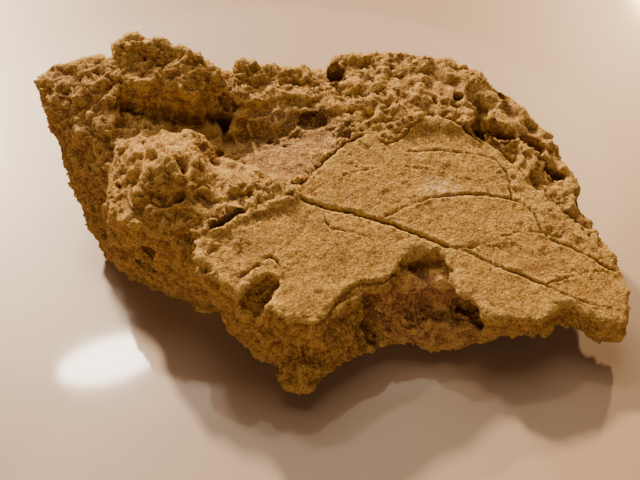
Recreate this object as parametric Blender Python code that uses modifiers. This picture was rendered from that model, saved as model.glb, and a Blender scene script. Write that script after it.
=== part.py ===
"""A piece of travertine with the imprint of a leaf on its upper face.

The stone is one solid. It lies with its flat underside on the surface below, the leaf
plate faces up and leans towards -Y, and the leaf's tip points to +X.
Lengths in this file are millimetres until the mesh is made. The origin is on the flat
underside, +X runs along the stone and +Z is up.
"""

import math

import bmesh
import bpy
from mathutils import Matrix, Vector, noise

MM = 0.001

# The plane of the leaf: its height over the origin, and how it falls to +X and rises to +Y.
LEAF_HEIGHT = 27.8
LEAF_FALL_X = 0.16
LEAF_RISE_Y = 0.25
SLAB_THICKNESS = 6.5
GROOVE_RISE = 0.5
FLAT_BELOW = 0.05

# Sizes of the mesh: the grain of the fused blocks, and the triangles that are kept.
VOXEL = 0.75
SMOOTHING_STEPS = 2
TRIANGLES = 9000

# The rough skin of the stone: how high and how wide its lumps and its beds are.
LUMP_HEIGHT = 1.1
LUMP_SIZE = 7.5
KNOB_HEIGHT = 0.6
KNOB_SIZE = 2.9
BED_HEIGHT = 0.6
BED_THICKNESS = 3.4
PIT_DEPTH = 1.7
PIT_SPACING = 7.0
PIT_SHARE = 0.34
PIT_LEAST = 0.15
PIT_CENTRE = (52, 12, 19)
PIT_REACH = 22.0
RING_CENTRE = (-23.5, -11, 27)
RING_REACH = 12.0
RING_SPACING = 2.8
RING_HEIGHT = 0.5
BACK_HEIGHT = 7.5
BACK_SIZE = 13.0
BACK_TOP = 27.0
BACK_FADE = 9.0

# How much of that roughness is left on the smoother parts.
PRINT_CALM = 0.1
SLAB_CALM = 0.35
VALLEY_CALM = 0.4

# Plan outline of the broken slab that carries the leaf, from the leaf's stalk end along
# the far margin to the tip and back along the broken near edge.
SLAB_OUTLINE = [
    (4, -8), (13, 4), (19, 9), (32, 13.5), (41, 11.5), (48, 6), (55, -3.5),
    (62.5, -11.5), (68, -18), (70, -24), (68.5, -27.5), (67.5, -31.5), (64, -32),
    (61, -31), (58, -30), (55.5, -29), (52.5, -31), (50.5, -32.5), (46, -33.3), (42, -33.5),
    (39.5, -33), (37, -30.5), (34, -27.5), (33.5, -23), (32, -20.5), (29.5, -19),
    (27.5, -20), (24.5, -22.5), (23.5, -24.5), (22.5, -27), (20, -29.5), (17, -31),
    (13.5, -33), (10.5, -36), (8.5, -38), (6.5, -39.5), (3, -39.2), (0.5, -38.5),
    (-1, -35.5), (-2.5, -33), (-6, -32), (-8.5, -32.3), (-11.5, -30.5), (-15, -28),
    (-15.5, -24), (-12, -20), (-3, -14), (1, -12.5), (4, -12),
]

# Plan outline of the smooth print within it: the leaf itself, up to its margin, without
# the rough patch at its far side and without the scar at the near edge.
PRINT_OUTLINE = [
    (4, -8), (6.5, -4.5), (10, 0), (13, 3.5), (17.5, 7), (20.5, 6.3), (21.7, 5), (23.5, 5.5),
    (25.5, 7), (27.5, 10), (31, 12.7), (34, 13.8), (39, 12), (43.5, 8), (46.5, 5), (48, 0),
    (48, -5.2), (51, -7), (53, -11.5), (56.5, -15), (61.5, -16.8), (68, -20.2), (70, -24),
    (68.5, -27.5), (67, -31.5), (61, -31), (57, -29), (52.5, -31), (46, -33), (39.5, -33),
    (37, -30.5), (34, -27), (33.5, -22.5), (32, -20.5), (29.5, -19), (27.5, -20),
    (24.5, -22.5), (23.5, -24), (22.5, -26), (21, -27.5), (18.5, -28.5), (16, -29),
    (14, -30), (12.3, -31.7), (10, -33.5), (7.5, -36.5), (5.3, -37.5), (2.9, -35),
    (0.2, -31.5), (-2.5, -28.5), (-5.5, -26), (-7.5, -23), (-6.4, -20.3), (-1.7, -16.2),
    (4, -12),
]

# Plan outline of the smooth floor of the hollow between the boss and the leaf's stalk end.
VALLEY_OUTLINE = [
    (-14, 10), (-12, 3), (-7, -4.5), (3, -8), (12, 4), (9, 11), (3, 14), (-6, 13),
]

# The blocks that the stone is massed from. Each is the hull of its corners.
BLOCKS = {
    "core": [
        (-38.5, -5, -1), (-33, -10, -1), (-25, -14, -1), (-17, -18.5, -1), (-8, -22, -1),
        (8, -25, -1), (26, -24, -1), (33, -10, -1), (33, 6, -1), (24, 22, -1), (-12, 26, -1),
        (-34, 23, -1), (-42, 8, -1), (-34, -4, 18), (-24, -14, 18), (-12, -22, 19),
        (4, -24, 19), (22, -18, 16), (40, -16, 13), (52, 0, 14), (44, 18, 16),
        (12, 28, 20), (-20, 28, 20), (-44, 20, 18),
    ],
    "left_end": [
        (-54.8, 21.5, 30), (-54.2, 23.5, 30.8), (-53, 25.8, 31.8), (-50.5, 26, 32.7),
        (-46, 26.5, 33), (-41, 26, 34), (-38, 24.5, 34.5), (-53.6, 19.2, 27.4),
        (-49.6, 14.5, 14), (-45.8, 5.5, 8), (-41.3, -2.5, 3), (-39, -5, 0), (-36, 17, 33),
        (-35, 8, 28), (-36.5, 1, 22),
        (-36.5, -5, 12), (-36.5, -7.5, 4), (-52, 31, 27), (-49, 34, 17), (-40, 33, 4),
        (-36, 34, 24), (-30, 20, 4),
    ],
    "knob_ridge": [
        (-37.5, 25, 37), (-36, 27.5, 37.5), (-34, 27.5, 38), (-24, 25, 37.5), (-18, 23, 36),
        (-13, 21, 33), (-36, 19, 34.5), (-35, 16, 31.5), (-28.5, 15, 32.5), (-23, 16, 33),
        (-18, 15, 31.5), (-15, 17, 31.5), (-35, 16.5, 27), (-28, 16, 26), (-18, 17, 26),
        (-37, 35, 27), (-12, 32, 25), (-35, 37, 12), (-12, 35, 10), (-33, 33, 3),
        (-12, 32, 3), (-33, 16, 3), (-14, 16, 3),
    ],
    "saddle": [
        (-11, 24.5, 32), (-8.5, 25, 32.3), (-3, 25, 30.6), (1.5, 26, 30.6), (7.5, 26.5, 30.4),
        (-15, 18, 30), (-12, 16.5, 28.6), (-7, 15, 28), (-3, 13.5, 27.2), (1.5, 13, 27.2),
        (8.5, 15, 27.6), (-12, 33, 24), (8, 34, 24), (-12, 35, 3), (8, 36, 3),
        (-12, 16.5, 22), (0, 14, 21), (8, 15, 21),
    ],
    "shelf_foot": [
        (-11, 14, 25.8), (-4.5, 11.6, 25.6), (1, 12, 25.8), (8.5, 13.8, 26.6),
        (-11.5, 11.5, 22.5), (-4.5, 8.5, 22.2), (1.5, 8, 23), (8.5, 8.5, 25), (-11, 17, 21),
        (-4, 16, 20), (8, 16, 20),
    ],
    "shelf": [
        (-12, 17, 28), (-11.5, 14.2, 27.2), (-9.5, 12, 26.7), (-4.5, 11.2, 26.5),
        (1.5, 12, 26.8), (1, 17, 28), (-11, 14, 25.6), (-5, 12, 25.3), (1, 12.5, 25.5),
        (-6, 18, 25),
    ],
    "massif": [
        (8.5, 26, 29.5), (10.5, 28.5, 31), (15, 30.5, 31.5), (18.5, 31.5, 31.5),
        (25.5, 32.5, 31.5), (29, 30.5, 31), (37.5, 32, 30), (42.5, 30.5, 28.5),
        (45.5, 29.5, 27.5), (46, 27.5, 27), (8.5, 17.5, 28), (10, 11.5, 27), (11.5, 7, 25.5),
        (13.5, 5.5, 25.5), (19, 9, 27.5), (25.5, 11.5, 27.3), (32, 13.5, 26.7),
        (40.5, 12, 25), (9, 35, 24), (26, 39, 24), (40, 37.5, 21), (10, 37, 6), (25, 40, 6),
        (40, 36, 6), (12, 32, 1), (36, 32, 1), (12, 8, 3), (40, 12, 3),
    ],
    "shoulder": [
        (46, 27, 26.5), (48, 25.5, 26), (50.5, 24.5, 25.5), (52, 22.5, 24.5),
        (54, 19.5, 23.5), (58.3, 15.5, 22), (59.2, 12.5, 21), (60.8, 11.5, 19.3), (60.3, 7, 17.8),
        (44, 11, 24), (48, 6.5, 22), (52.5, 1.5, 20), (55, 24, 10), (60, 12, 8),
        (61, 2, 7), (44, 28, 3), (42, 5, 2),
    ],
    "right_edge": [
        (60.5, 11, 18.8), (60.2, 7, 17.6), (61, 4.5, 16.2), (63.2, -4, 15), (66.7, -12, 13.5),
        (68.3, -18.5, 12), (52.5, 1.5, 19.5), (55, -3.5, 18), (59, -7, 16.5), (62.5, -11.5, 15),
        (65.5, -16.5, 13), (60, 10, 8), (63, 0, 7), (66, -10, 7), (67.5, -20, 6.5),
        (50, 4, 4), (52, -10, 3.5), (60, -20, 4),
    ],
    "boss": [
        (-35.5, -4.5, 23), (-35.5, -8.5, 21), (-36, 0.5, 25), (-33, 2, 27), (-29.5, 3.2, 28.6),
        (-24, 5.6, 28.8), (-20, 4.6, 29.6), (-16.5, 3.6, 29), (-14.5, 2, 28), (-13.5, -1, 27),
        (-12.5, -3.5, 26),
        (-13.5, -11, 27), (-12.5, -13.5, 25.5), (-15, -18, 24), (-21, -21, 22.5),
        (-25, -19.5, 23), (-30.5, -17, 21.5), (-34.5, -12, 20), (-25, -10, 31),
        (-22.5, -9, 31.5), (-18, -12.5, 30.5), (-34, -8, 10), (-32, 4, 10), (-12, 5, 12),
        (-12, -16, 12), (-22, -20, 12),
    ],
    "left_wall": [
        (-36, -8, 20), (-36, -8.5, 14), (-34.5, -11, 6), (-38, -4.5, -1), (-28.5, -14.5, 14),
        (-28, -14, 5), (-22, -19.5, 14), (-18.5, -21, 6), (-17.5, -24.5, 14),
        (-15, -25, 20), (-12, -26, 14), (-33, -10, -1), (-25, -13.5, -1), (-17, -18.5, -1),
        (-30, 5, 20), (-10, 5, 20), (-30, 5, -1), (-10, -10, -1), (-8, -14, 20),
    ],
    "skirt": [
        (-14, 2, 26), (-12.5, -2, 25.5), (-7, -6.5, 25.5), (-2, -7, 25.5), (3.5, -9.5, 25.8),
        (3.5, -12.5, 25.3), (-5.5, -14.5, 25.5), (-10.5, -17.5, 25), (-14.5, -22.5, 24.5),
        (-17, -22, 24), (-16, -10, 27), (-14, 2, 16), (3, -9, 16), (-14, -22, 16),
    ],
    "trough_floor": [
        (-35, 17, 27.5), (-36, 1, 26), (-30, 6, 27), (-28, 17, 25), (-22, 8, 24.5),
        (-14, 16, 23.5), (-13, 7, 22.5), (-35, 17, 15), (-35, 2, 15), (-13, 16, 15),
        (-13, 4, 15),
    ],
    "valley": [
        (-14, 9, 21.5), (-12, 2.5, 22.5), (-5, 8.5, 21.5), (3.5, 12.5, 22.5), (10, 8, 25.5),
        (13, 4.5, 26.5), (4.5, -7.5, 25), (4, 1, 24.5), (-2.5, 0, 23.5), (-7, -6, 24.8),
        (-2, -7, 25), (-12, 16, 21), (8, 17, 22), (-14, 8, 12), (10, 12, 12), (4, -10, 12),
    ],
    "prow": [
        (-15, -30.5, 22), (-7.5, -33, 20.5), (-3, -33.5, 19.5), (-1, -36, 18.5),
        (2, -38.5, 17.5), (7, -37, 17), (10, -35.5, 17), (14, -31, 17), (18, -29.5, 16.5),
        (20, -24, 16), (-14, -24, 22), (-10, -25.5, 2), (-8, -31.5, 3.5), (-3.5, -36, 3.5),
        (0.5, -39.5, 3.5), (9, -40, 4.5), (13.5, -37.5, 4.5), (18, -34, 3.5), (-8, -22, -1),
        (8, -25, -1), (22, -28, 2), (4, -38, 12),
    ],
    "prow_tip": [
        (-1.5, -39.5, 3.5), (0, -41.5, 3), (0, -41.5, 6), (2.5, -43.8, 3), (6, -44.5, 3.5),
        (9, -42.5, 4), (8.5, -41.5, 8), (3, -40.5, 9), (6, -36, 2.5), (10, -38, 5),
    ],
    "foot": [
        (19, -33, 3.5), (24, -31, 3), (31, -30.5, 3), (36, -32.5, 2), (40, -31, 2.5),
        (43.5, -31, 5), (22, -28, 8.5), (27, -28, 9), (33, -28, 8.5), (42, -28, 10),
        (20, -14, 1), (40, -14, 2), (43, -20, 12), (22, -22, 14),
    ],
    "front_ledge": [
        (22, -24, 15.8), (30, -21, 16.2), (34.5, -24, 14.5), (24, -28, 13.8), (30, -28.5, 13.3),
        (34, -27.5, 12.5), (24, -25, 11), (33, -25, 10.5), (28, -18, 11), (23, -18, 15),
    ],
}

# Rounded lumps fused to the blocks: centre, and radii along X, Y and Z.
LUMPS = {
    "knob_left": ((-34, 26, 35.5), (3.6, 3.4, 3.2)),
    "knob_middle": ((-28, 25.5, 35.2), (3.8, 3.2, 3.2)),
    "knob_right": ((-21, 23, 34), (4.2, 3, 3)),
    "saddle_bump": ((-8.5, 24, 30.5), (2.8, 2.8, 2.6)),
    "saddle_bump_small": ((-2.8, 24.5, 28.9), (2.2, 2, 2)),
    "massif_brow": ((13.5, 29, 29.2), (3.6, 3, 2.8)),
    "shoulder_knob_back": ((49.5, 21.5, 23), (3.2, 2.8, 2.8)),
    "shoulder_knob_low": ((50.5, 14, 20), (2.6, 2.2, 2.4)),
    "shoulder_knob_right": ((57, 14.5, 19.5), (3.2, 2.6, 2.6)),
    "edge_knob": ((59.3, 8, 16), (2.4, 3, 2.6)),
    "stalk_end": ((25, -28.5, 6.8), (3.3, 3.2, 3.3)),
    "foot_ridge": ((33, -28.8, 6.6), (4, 2.2, 1.8)),
    "foot_lump": ((35.5, -31, 3.8), (3, 2.2, 1.9)),
    "boss_ear": ((-31, 2, 26), (4, 3, 2.6)),
}

# Hollows cut into the stone: centre, radii, and turn about Z and tilt about X in degrees.
HOLLOWS = {
    "arch": ((29, -29, 17.5), (4.6, 10, 2.6), 4, -14),
    "recess": ((30, -33, 10.8), (9, 8, 4.4), 12, 0),
    "recess_left": ((19.5, -33, 9.5), (2.6, 6.5, 6), 25, 0),
    "recess_eye": ((36.8, -29.5, 9.2), (3.6, 5, 2.1), 0, 0),
    "stem_hole": ((-3.6, -34, 18.3), (3.1, 5.6, 3.1), -35, 14),
    "trough": ((-20.5, 8.4, 30.2), (7.6, 4.6, 3.8), 2, 0),
    "trough_hole": ((-17.3, 12.5, 25.6), (2.8, 3, 1.2), 0, 0),
    "ledge_hole": ((-12.2, 17, 27.6), (2, 3.4, 1.9), 15, 0),
    "slit": ((6.2, 13, 25.7), (3.2, 4.2, 0.95), 0, 0),
    "back_hole": ((11.3, 26, 28.6), (2.2, 3, 3), 0, 0),
    "vug_wide": ((45.5, 13.8, 22.5), (5.2, 2.6, 4.2), -28, 0),
    "vug_gouge": ((44.6, 18, 25.4), (1.5, 4.5, 2.6), 8, 0),
    "vug_back": ((49, 22.8, 26), (3, 1.6, 2.2), -35, 0),
    "vug_right": ((54.4, 10.4, 20), (3.8, 2, 3.6), -30, 0),
    "vug_far": ((59, 4.4, 17.6), (3.2, 1.8, 2.6), -40, 0),
    "vug_edge": ((63.5, -2.5, 15.4), (2.8, 1.4, 1.8), -55, 0),
    "vug_small": ((39, 19.6, 27.8), (1.5, 1.5, 1.8), 0, 0),
    "boss_hollow": ((-22.4, -15.6, 29), (5, 2.4, 2.8), -4, 0),
    "wall_hole": ((-28.6, -15.2, 8.8), (2.3, 3, 1.4), 20, 0),
    "wall_step": ((-27.5, -17.5, 14.5), (5, 2.6, 2), 32, 0),
}

# The leaf's printed lines in plan: width and depth of the groove, then its points.
# The groove runs out to nothing at both ends.
LEAF_LINES = {
    "midrib": (1.1, 1.2, [
        (4.5, -12), (8, -12.9), (11, -13.4), (16.5, -14), (21, -14.9), (26, -16.4),
        (29, -17.4), (33, -19),
    ]),
    "midrib_tip": (0.7, 0.5, [
        (35, -20), (37, -20), (39, -20.5), (42, -21.7), (47, -23.3), (51, -24.8),
    ]),
    "vein_first": (0.8, 0.6, [
        (21.8, -13.2), (23.5, -12), (26.5, -9.9), (32, -7.1), (35, -6.3), (42, -5.1),
        (46.5, -5.4),
    ]),
    "vein_second": (0.7, 0.5, [
        (35, -18.6), (38, -18), (41.5, -16.7), (46, -14.4), (51, -12.9),
    ]),
    "vein_tip": (0.7, 0.5, [(53, -24.6), (56.5, -23), (61.5, -21), (64, -20.4), (66.5, -20.8)]),
    "leaf_margin": (0.8, 0.7, [
        (26, 3.5), (31, 4.6), (38, 5.2), (44, 4.8), (46.5, 3), (48, -0.5), (48, -5.2),
        (51, -7), (53, -11.5), (56.5, -14.9), (61.5, -16.8), (65.5, -19.2), (68, -20.2),
    ]),
}


def clear_scene():
    for obj in list(bpy.data.objects):
        bpy.data.objects.remove(obj, do_unlink=True)


def new_collection(name):
    collection = bpy.data.collections.new(name)
    bpy.context.scene.collection.children.link(collection)
    return collection


def leaf_level(x, y):
    return LEAF_HEIGHT - LEAF_FALL_X * x + LEAF_RISE_Y * y


def add_hull(bm, corners):
    """Adds the closed hull of the corners to the mesh."""
    verts = [bm.verts.new(Vector(corner) * MM) for corner in corners]
    made = bmesh.ops.convex_hull(bm, input=verts)
    inside = {v for v in made["geom_interior"] + made["geom_unused"] if isinstance(v, bmesh.types.BMVert)}
    bmesh.ops.delete(bm, geom=list(inside), context="VERTS")


def add_slab(bm, outline, thickness):
    """Adds the leaf slab: its outline on the leaf's plane, drawn down by its thickness."""
    top = [bm.verts.new(Vector((x, y, leaf_level(x, y))) * MM) for x, y in outline]
    face = bm.faces.new(top)
    made = bmesh.ops.extrude_face_region(bm, geom=[face])
    lower = [v for v in made["geom"] if isinstance(v, bmesh.types.BMVert)]
    bmesh.ops.translate(bm, verts=lower, vec=Vector((0, 0, -thickness * MM)))


def add_ball(bm, centre, radii, turn=0, tilt=0):
    """Adds a ball drawn out to its radii, turned about Z and tilted about X."""
    place = Matrix.Translation(Vector(centre) * MM)
    turned = Matrix.Rotation(math.radians(turn), 4, "Z") @ Matrix.Rotation(math.radians(tilt), 4, "X")
    size = Matrix.Diagonal((*(radius * MM for radius in radii), 1))
    bmesh.ops.create_icosphere(bm, subdivisions=3, radius=1, matrix=place @ turned @ size)


def massed_blocks():
    """One mesh of the overlapping blocks, before they are fused."""
    bm = bmesh.new()
    for corners in BLOCKS.values():
        add_hull(bm, corners)
    for centre, radii in LUMPS.values():
        add_ball(bm, centre, radii)
    add_slab(bm, SLAB_OUTLINE, SLAB_THICKNESS)
    bmesh.ops.recalc_face_normals(bm, faces=bm.faces)
    mesh = bpy.data.meshes.new("blocks")
    bm.to_mesh(mesh)
    bm.free()
    return mesh


def hollow_cutter():
    """One mesh of all hollows, each a ball drawn out to its radii."""
    bm = bmesh.new()
    for centre, radii, turn, tilt in HOLLOWS.values():
        add_ball(bm, centre, radii, turn, tilt)
    mesh = bpy.data.meshes.new("hollows")
    bm.to_mesh(mesh)
    bm.free()
    return mesh


def groove_sections(width, depth, points):
    """The cut's section at each point: its left and right edge over the leaf, and its bottom."""
    line = [Vector((x, y, leaf_level(x, y))) for x, y in points]
    sections = []
    for index, point in enumerate(line):
        before = line[max(index - 1, 0)]
        after = line[min(index + 1, len(line) - 1)]
        along = (after - before).normalized()
        aside = along.cross(Vector((0, 0, 1))).normalized()
        share = min(index, len(line) - 1 - index, 2) / 2
        half = width * (0.3 + 0.4 * share)
        low = depth * share - 0.2 * (1 - share)
        over = Vector((0, 0, GROOVE_RISE))
        sections.append((
            (point + aside * half + over) * MM,
            (point - aside * half + over) * MM,
            (point - Vector((0, 0, low))) * MM,
        ))
    return sections


def groove_cutter():
    """One mesh of all printed lines of the leaf, each a sharp-bottomed furrow."""
    bm = bmesh.new()
    for width, depth, points in LEAF_LINES.values():
        rings = [[bm.verts.new(corner) for corner in section]
                 for section in groove_sections(width, depth, points)]
        for ring, following in zip(rings, rings[1:]):
            for corner in range(3):
                beside = (corner + 1) % 3
                bm.faces.new((ring[corner], ring[beside], following[beside], following[corner]))
        bm.faces.new(rings[0])
        bm.faces.new(rings[-1])
    bmesh.ops.recalc_face_normals(bm, faces=bm.faces)
    mesh = bpy.data.meshes.new("grooves")
    bm.to_mesh(mesh)
    bm.free()
    return mesh


def helper(name, mesh, collection):
    obj = bpy.data.objects.new(name, mesh)
    collection.objects.link(obj)
    obj.hide_render = True
    obj.display_type = "WIRE"
    return obj


def fused_mesh(blocks, hollows):
    """The blocks as one skin, with the hollows cut in it."""
    fuse = blocks.modifiers.new("fuse", "REMESH")
    fuse.mode = "VOXEL"
    fuse.voxel_size = VOXEL * MM
    cut = blocks.modifiers.new("hollows", "BOOLEAN")
    cut.operation = "DIFFERENCE"
    cut.object = hollows
    cut.use_self = True
    even = blocks.modifiers.new("even", "REMESH")
    even.mode = "VOXEL"
    even.voxel_size = VOXEL * MM
    soften = blocks.modifiers.new("soften", "SMOOTH")
    soften.iterations = SMOOTHING_STEPS
    graph = bpy.context.evaluated_depsgraph_get()
    mesh = bpy.data.meshes.new_from_object(blocks.evaluated_get(graph))
    blocks.modifiers.clear()
    return mesh


def inside(outline, x, y):
    """Whether a point in plan lies inside the outline, by the crossings to its left."""
    crossings = 0
    for (x1, y1), (x2, y2) in zip(outline, outline[1:] + outline[:1]):
        if (y1 > y) != (y2 > y) and x1 + (y - y1) / (y2 - y1) * (x2 - x1) < x:
            crossings += 1
    return crossings % 2 == 1


def keep_largest(mesh):
    """Removes every loose crumb or sealed bubble, and leaves the one body of the stone."""
    bm = bmesh.new()
    bm.from_mesh(mesh)
    unseen = set(bm.verts)
    islands = []
    while unseen:
        island = [unseen.pop()]
        for vert in island:
            for edge in vert.link_edges:
                other = edge.other_vert(vert)
                if other in unseen:
                    unseen.remove(other)
                    island.append(other)
        islands.append(island)
    islands.sort(key=len)
    for island in islands[:-1]:
        bmesh.ops.delete(bm, geom=island, context="VERTS")
    bm.to_mesh(mesh)
    bm.free()


def calmness(point, normal):
    """The share of the roughness that is left at a point of the skin."""
    if normal.z < 0:
        return 1.0
    off = point.z - leaf_level(point.x, point.y)
    if inside(VALLEY_OUTLINE, point.x, point.y) and off < -0.5:
        return VALLEY_CALM
    if abs(off) > 1.6:
        return 1.0
    if inside(PRINT_OUTLINE, point.x, point.y):
        share = PRINT_CALM
    elif inside(SLAB_OUTLINE, point.x, point.y):
        share = SLAB_CALM
    else:
        return 1.0
    return 1 + (share - 1) * normal.z * min(1.0, 1.6 - abs(off))


def step_profile(level, thickness):
    """The outline of one bed or ring of the stone: it swells, then breaks back sharply."""
    share = level / thickness % 1.0
    return share * share * (1.0 - share) * 6.0 - 0.5


def ring_profile(point):
    """The rings around the top of the boss, which fade out at their reach."""
    away = (point - Vector(RING_CENTRE)).length + noise.noise(point / 6) * 1.5
    if away > RING_REACH:
        return 0.0
    return step_profile(away, RING_SPACING) * min(1.0, (RING_REACH - away) / 3)


def back_lumps(point, normal):
    """The broad lumps of the far side, which fade out below its upper edge."""
    share = min(1.0, max(0.0, (BACK_TOP - point.z) / BACK_FADE)) * max(0.0, normal.y)
    return noise.noise(point / BACK_SIZE + Vector((3, 2, 7))) * BACK_HEIGHT * share


def pit_profile(point):
    """0 to 1, deepest in the middle of ragged pits, which are deepest near the far shoulder."""
    ragged = point + noise.noise_vector(point / 2.6) * 1.7
    near = noise.voronoi(ragged / PIT_SPACING)[0][0] / PIT_SHARE
    away = (point - Vector(PIT_CENTRE)).length / PIT_REACH
    return max(0.0, 1.0 - near * near) * max(PIT_LEAST, min(1.0, 2 - 2 * away))


def roughen(mesh):
    """Moves the skin along its normals into lumps, knobs, beds and pits."""
    normals = [v.normal.copy() for v in mesh.vertices]
    for vertex, normal in zip(mesh.vertices, normals):
        point = vertex.co / MM
        lump = noise.fractal(point / LUMP_SIZE, 0.9, 2.0, 3) * LUMP_HEIGHT
        knob = noise.noise(point / KNOB_SIZE + Vector((5, 1, 9))) * KNOB_HEIGHT
        level = point.z - leaf_level(point.x, point.y) + noise.noise(point / 14) * 2
        steep = 1 - abs(normal.z)
        bed = step_profile(level, BED_THICKNESS) * BED_HEIGHT * steep
        ring = ring_profile(point) * RING_HEIGHT
        pit = pit_profile(point) * PIT_DEPTH
        back = back_lumps(point, normal)
        calm = calmness(point, normal)
        vertex.co += normal * ((lump + knob + bed + ring - pit + back) * calm * MM)


def travertine():
    material = bpy.data.materials.new("travertine")
    material.use_nodes = True
    shader = material.node_tree.nodes["Principled BSDF"]
    shader.inputs["Base Color"].default_value = (0.43, 0.24, 0.09, 1)
    shader.inputs["Roughness"].default_value = 0.9
    shader.inputs["Metallic"].default_value = 0.0
    return material


def ground_cutter():
    """A box whose top is the surface that the stone rests on."""
    bm = bmesh.new()
    bmesh.ops.create_cube(bm, size=1, matrix=Matrix.Diagonal((0.2, 0.2, 0.02, 1)))
    bmesh.ops.translate(bm, verts=bm.verts, vec=Vector((0, 0, -0.01)))
    mesh = bpy.data.meshes.new("ground")
    bm.to_mesh(mesh)
    bm.free()
    return mesh


def thinned_mesh(rough, ground):
    """The roughened skin made even, cut flat where it rests, and thinned to its triangles."""
    skin = rough.modifiers.new("skin", "REMESH")
    skin.mode = "VOXEL"
    skin.voxel_size = VOXEL * MM
    rest = rough.modifiers.new("rest", "BOOLEAN")
    rest.operation = "DIFFERENCE"
    rest.object = ground
    graph = bpy.context.evaluated_depsgraph_get()
    faces = len(rough.evaluated_get(graph).data.polygons)
    thin = rough.modifiers.new("thin", "DECIMATE")
    thin.ratio = TRIANGLES / (2 * faces)
    thin.use_collapse_triangulate = True
    graph = bpy.context.evaluated_depsgraph_get()
    return bpy.data.meshes.new_from_object(rough.evaluated_get(graph))


def flatten_base(mesh):
    """Puts the points of the underside exactly on the surface it rests on."""
    for vertex in mesh.vertices:
        if vertex.co.z < FLAT_BELOW * MM:
            vertex.co.z = 0


def main():
    clear_scene()
    collection = new_collection("fossil_leaf_plate")
    helpers = new_collection("cutters")
    blocks = helper("blocks", massed_blocks(), helpers)
    hollows = helper("hollows", hollow_cutter(), helpers)
    grooves = helper("grooves", groove_cutter(), helpers)
    ground = helper("ground", ground_cutter(), helpers)

    skin = fused_mesh(blocks, hollows)
    keep_largest(skin)
    roughen(skin)
    rough = helper("rough", skin, helpers)
    mesh = thinned_mesh(rough, ground)
    keep_largest(mesh)
    flatten_base(mesh)
    mesh.name = "fossil_leaf_stone"
    mesh.materials.clear()
    mesh.materials.append(travertine())
    stone = bpy.data.objects.new("fossil_leaf_stone", mesh)
    collection.objects.link(stone)
    for left_over in (blocks, hollows, rough, ground):
        bpy.data.objects.remove(left_over)

    lines = stone.modifiers.new("leaf_lines", "BOOLEAN")
    lines.operation = "DIFFERENCE"
    lines.object = grooves


main()
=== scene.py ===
import math

import bmesh
import bpy
import numpy as np
from mathutils import Matrix, Vector, noise


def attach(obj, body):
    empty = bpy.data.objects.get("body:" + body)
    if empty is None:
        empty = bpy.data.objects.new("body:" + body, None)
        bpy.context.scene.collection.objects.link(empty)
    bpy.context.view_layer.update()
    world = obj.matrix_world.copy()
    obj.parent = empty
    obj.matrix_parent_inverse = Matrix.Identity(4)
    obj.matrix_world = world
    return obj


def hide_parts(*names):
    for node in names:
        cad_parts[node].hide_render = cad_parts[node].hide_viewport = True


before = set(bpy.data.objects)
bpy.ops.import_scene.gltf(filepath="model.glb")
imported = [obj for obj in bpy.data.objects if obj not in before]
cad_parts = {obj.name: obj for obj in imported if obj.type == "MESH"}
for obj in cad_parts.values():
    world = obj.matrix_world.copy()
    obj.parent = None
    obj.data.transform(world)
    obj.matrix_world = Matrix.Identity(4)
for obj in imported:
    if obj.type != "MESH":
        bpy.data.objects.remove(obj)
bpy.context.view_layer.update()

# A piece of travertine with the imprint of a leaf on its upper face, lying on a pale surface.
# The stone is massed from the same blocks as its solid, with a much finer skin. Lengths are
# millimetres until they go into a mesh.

MM = 0.001

# The vector noise takes its offsets from the clock unless it has a seed.
NOISE_SEED = 7
noise.seed_set(NOISE_SEED)

# The plane of the leaf: its height over the origin, and how it falls to +X and rises to +Y.
LEAF_HEIGHT = 27.8
LEAF_FALL_X = 0.16
LEAF_RISE_Y = 0.25
SLAB_THICKNESS = 6.5

# The rough skin of the stone: how high and how wide its lumps, knobs and beds are. A
# fractal is the fall-off, the spacing and the number of its octaves.
LUMP_HEIGHT = 1.1
LUMP_SIZE = 7.5
LUMP_FRACTAL = (0.9, 2.0, 3)
KNOB_HEIGHT = 0.6
KNOB_SIZE = 2.9
BED_HEIGHT = 0.6
BED_THICKNESS = 3.4
BED_WAVER = 2.0
BED_WAVER_SIZE = 14.0

# Its pits, which are deepest near the far shoulder, and how ragged their rims are.
PIT_DEPTH = 1.7
PIT_SPACING = 7.0
PIT_SHARE = 0.34
PIT_LEAST = 0.15
PIT_RAG = 1.7
PIT_RAG_SIZE = 2.6
PIT_CENTRE = (52, 12, 19)
PIT_REACH = 22.0

# The rings around the top of the boss.
RING_CENTRE = (-23.5, -11, 27)
RING_REACH = 12.0
RING_FADE = 3.0
RING_SPACING = 2.8
RING_HEIGHT = 0.5
RING_WAVER = 1.5
RING_WAVER_SIZE = 6.0

# The broad lumps of the far side, and how they fade out below its upper edge.
BACK_HEIGHT = 7.5
BACK_SIZE = 13.0
BACK_TOP = 27.0
BACK_FADE = 9.0

# How much of that roughness is left on the smoother parts, how far over and under the
# leaf's plane they reach, and how far below it the valley's floor starts.
PRINT_CALM = 0.1
SLAB_CALM = 0.35
VALLEY_CALM = 0.4
CALM_REACH = 1.6
VALLEY_DROP = 0.5

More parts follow.
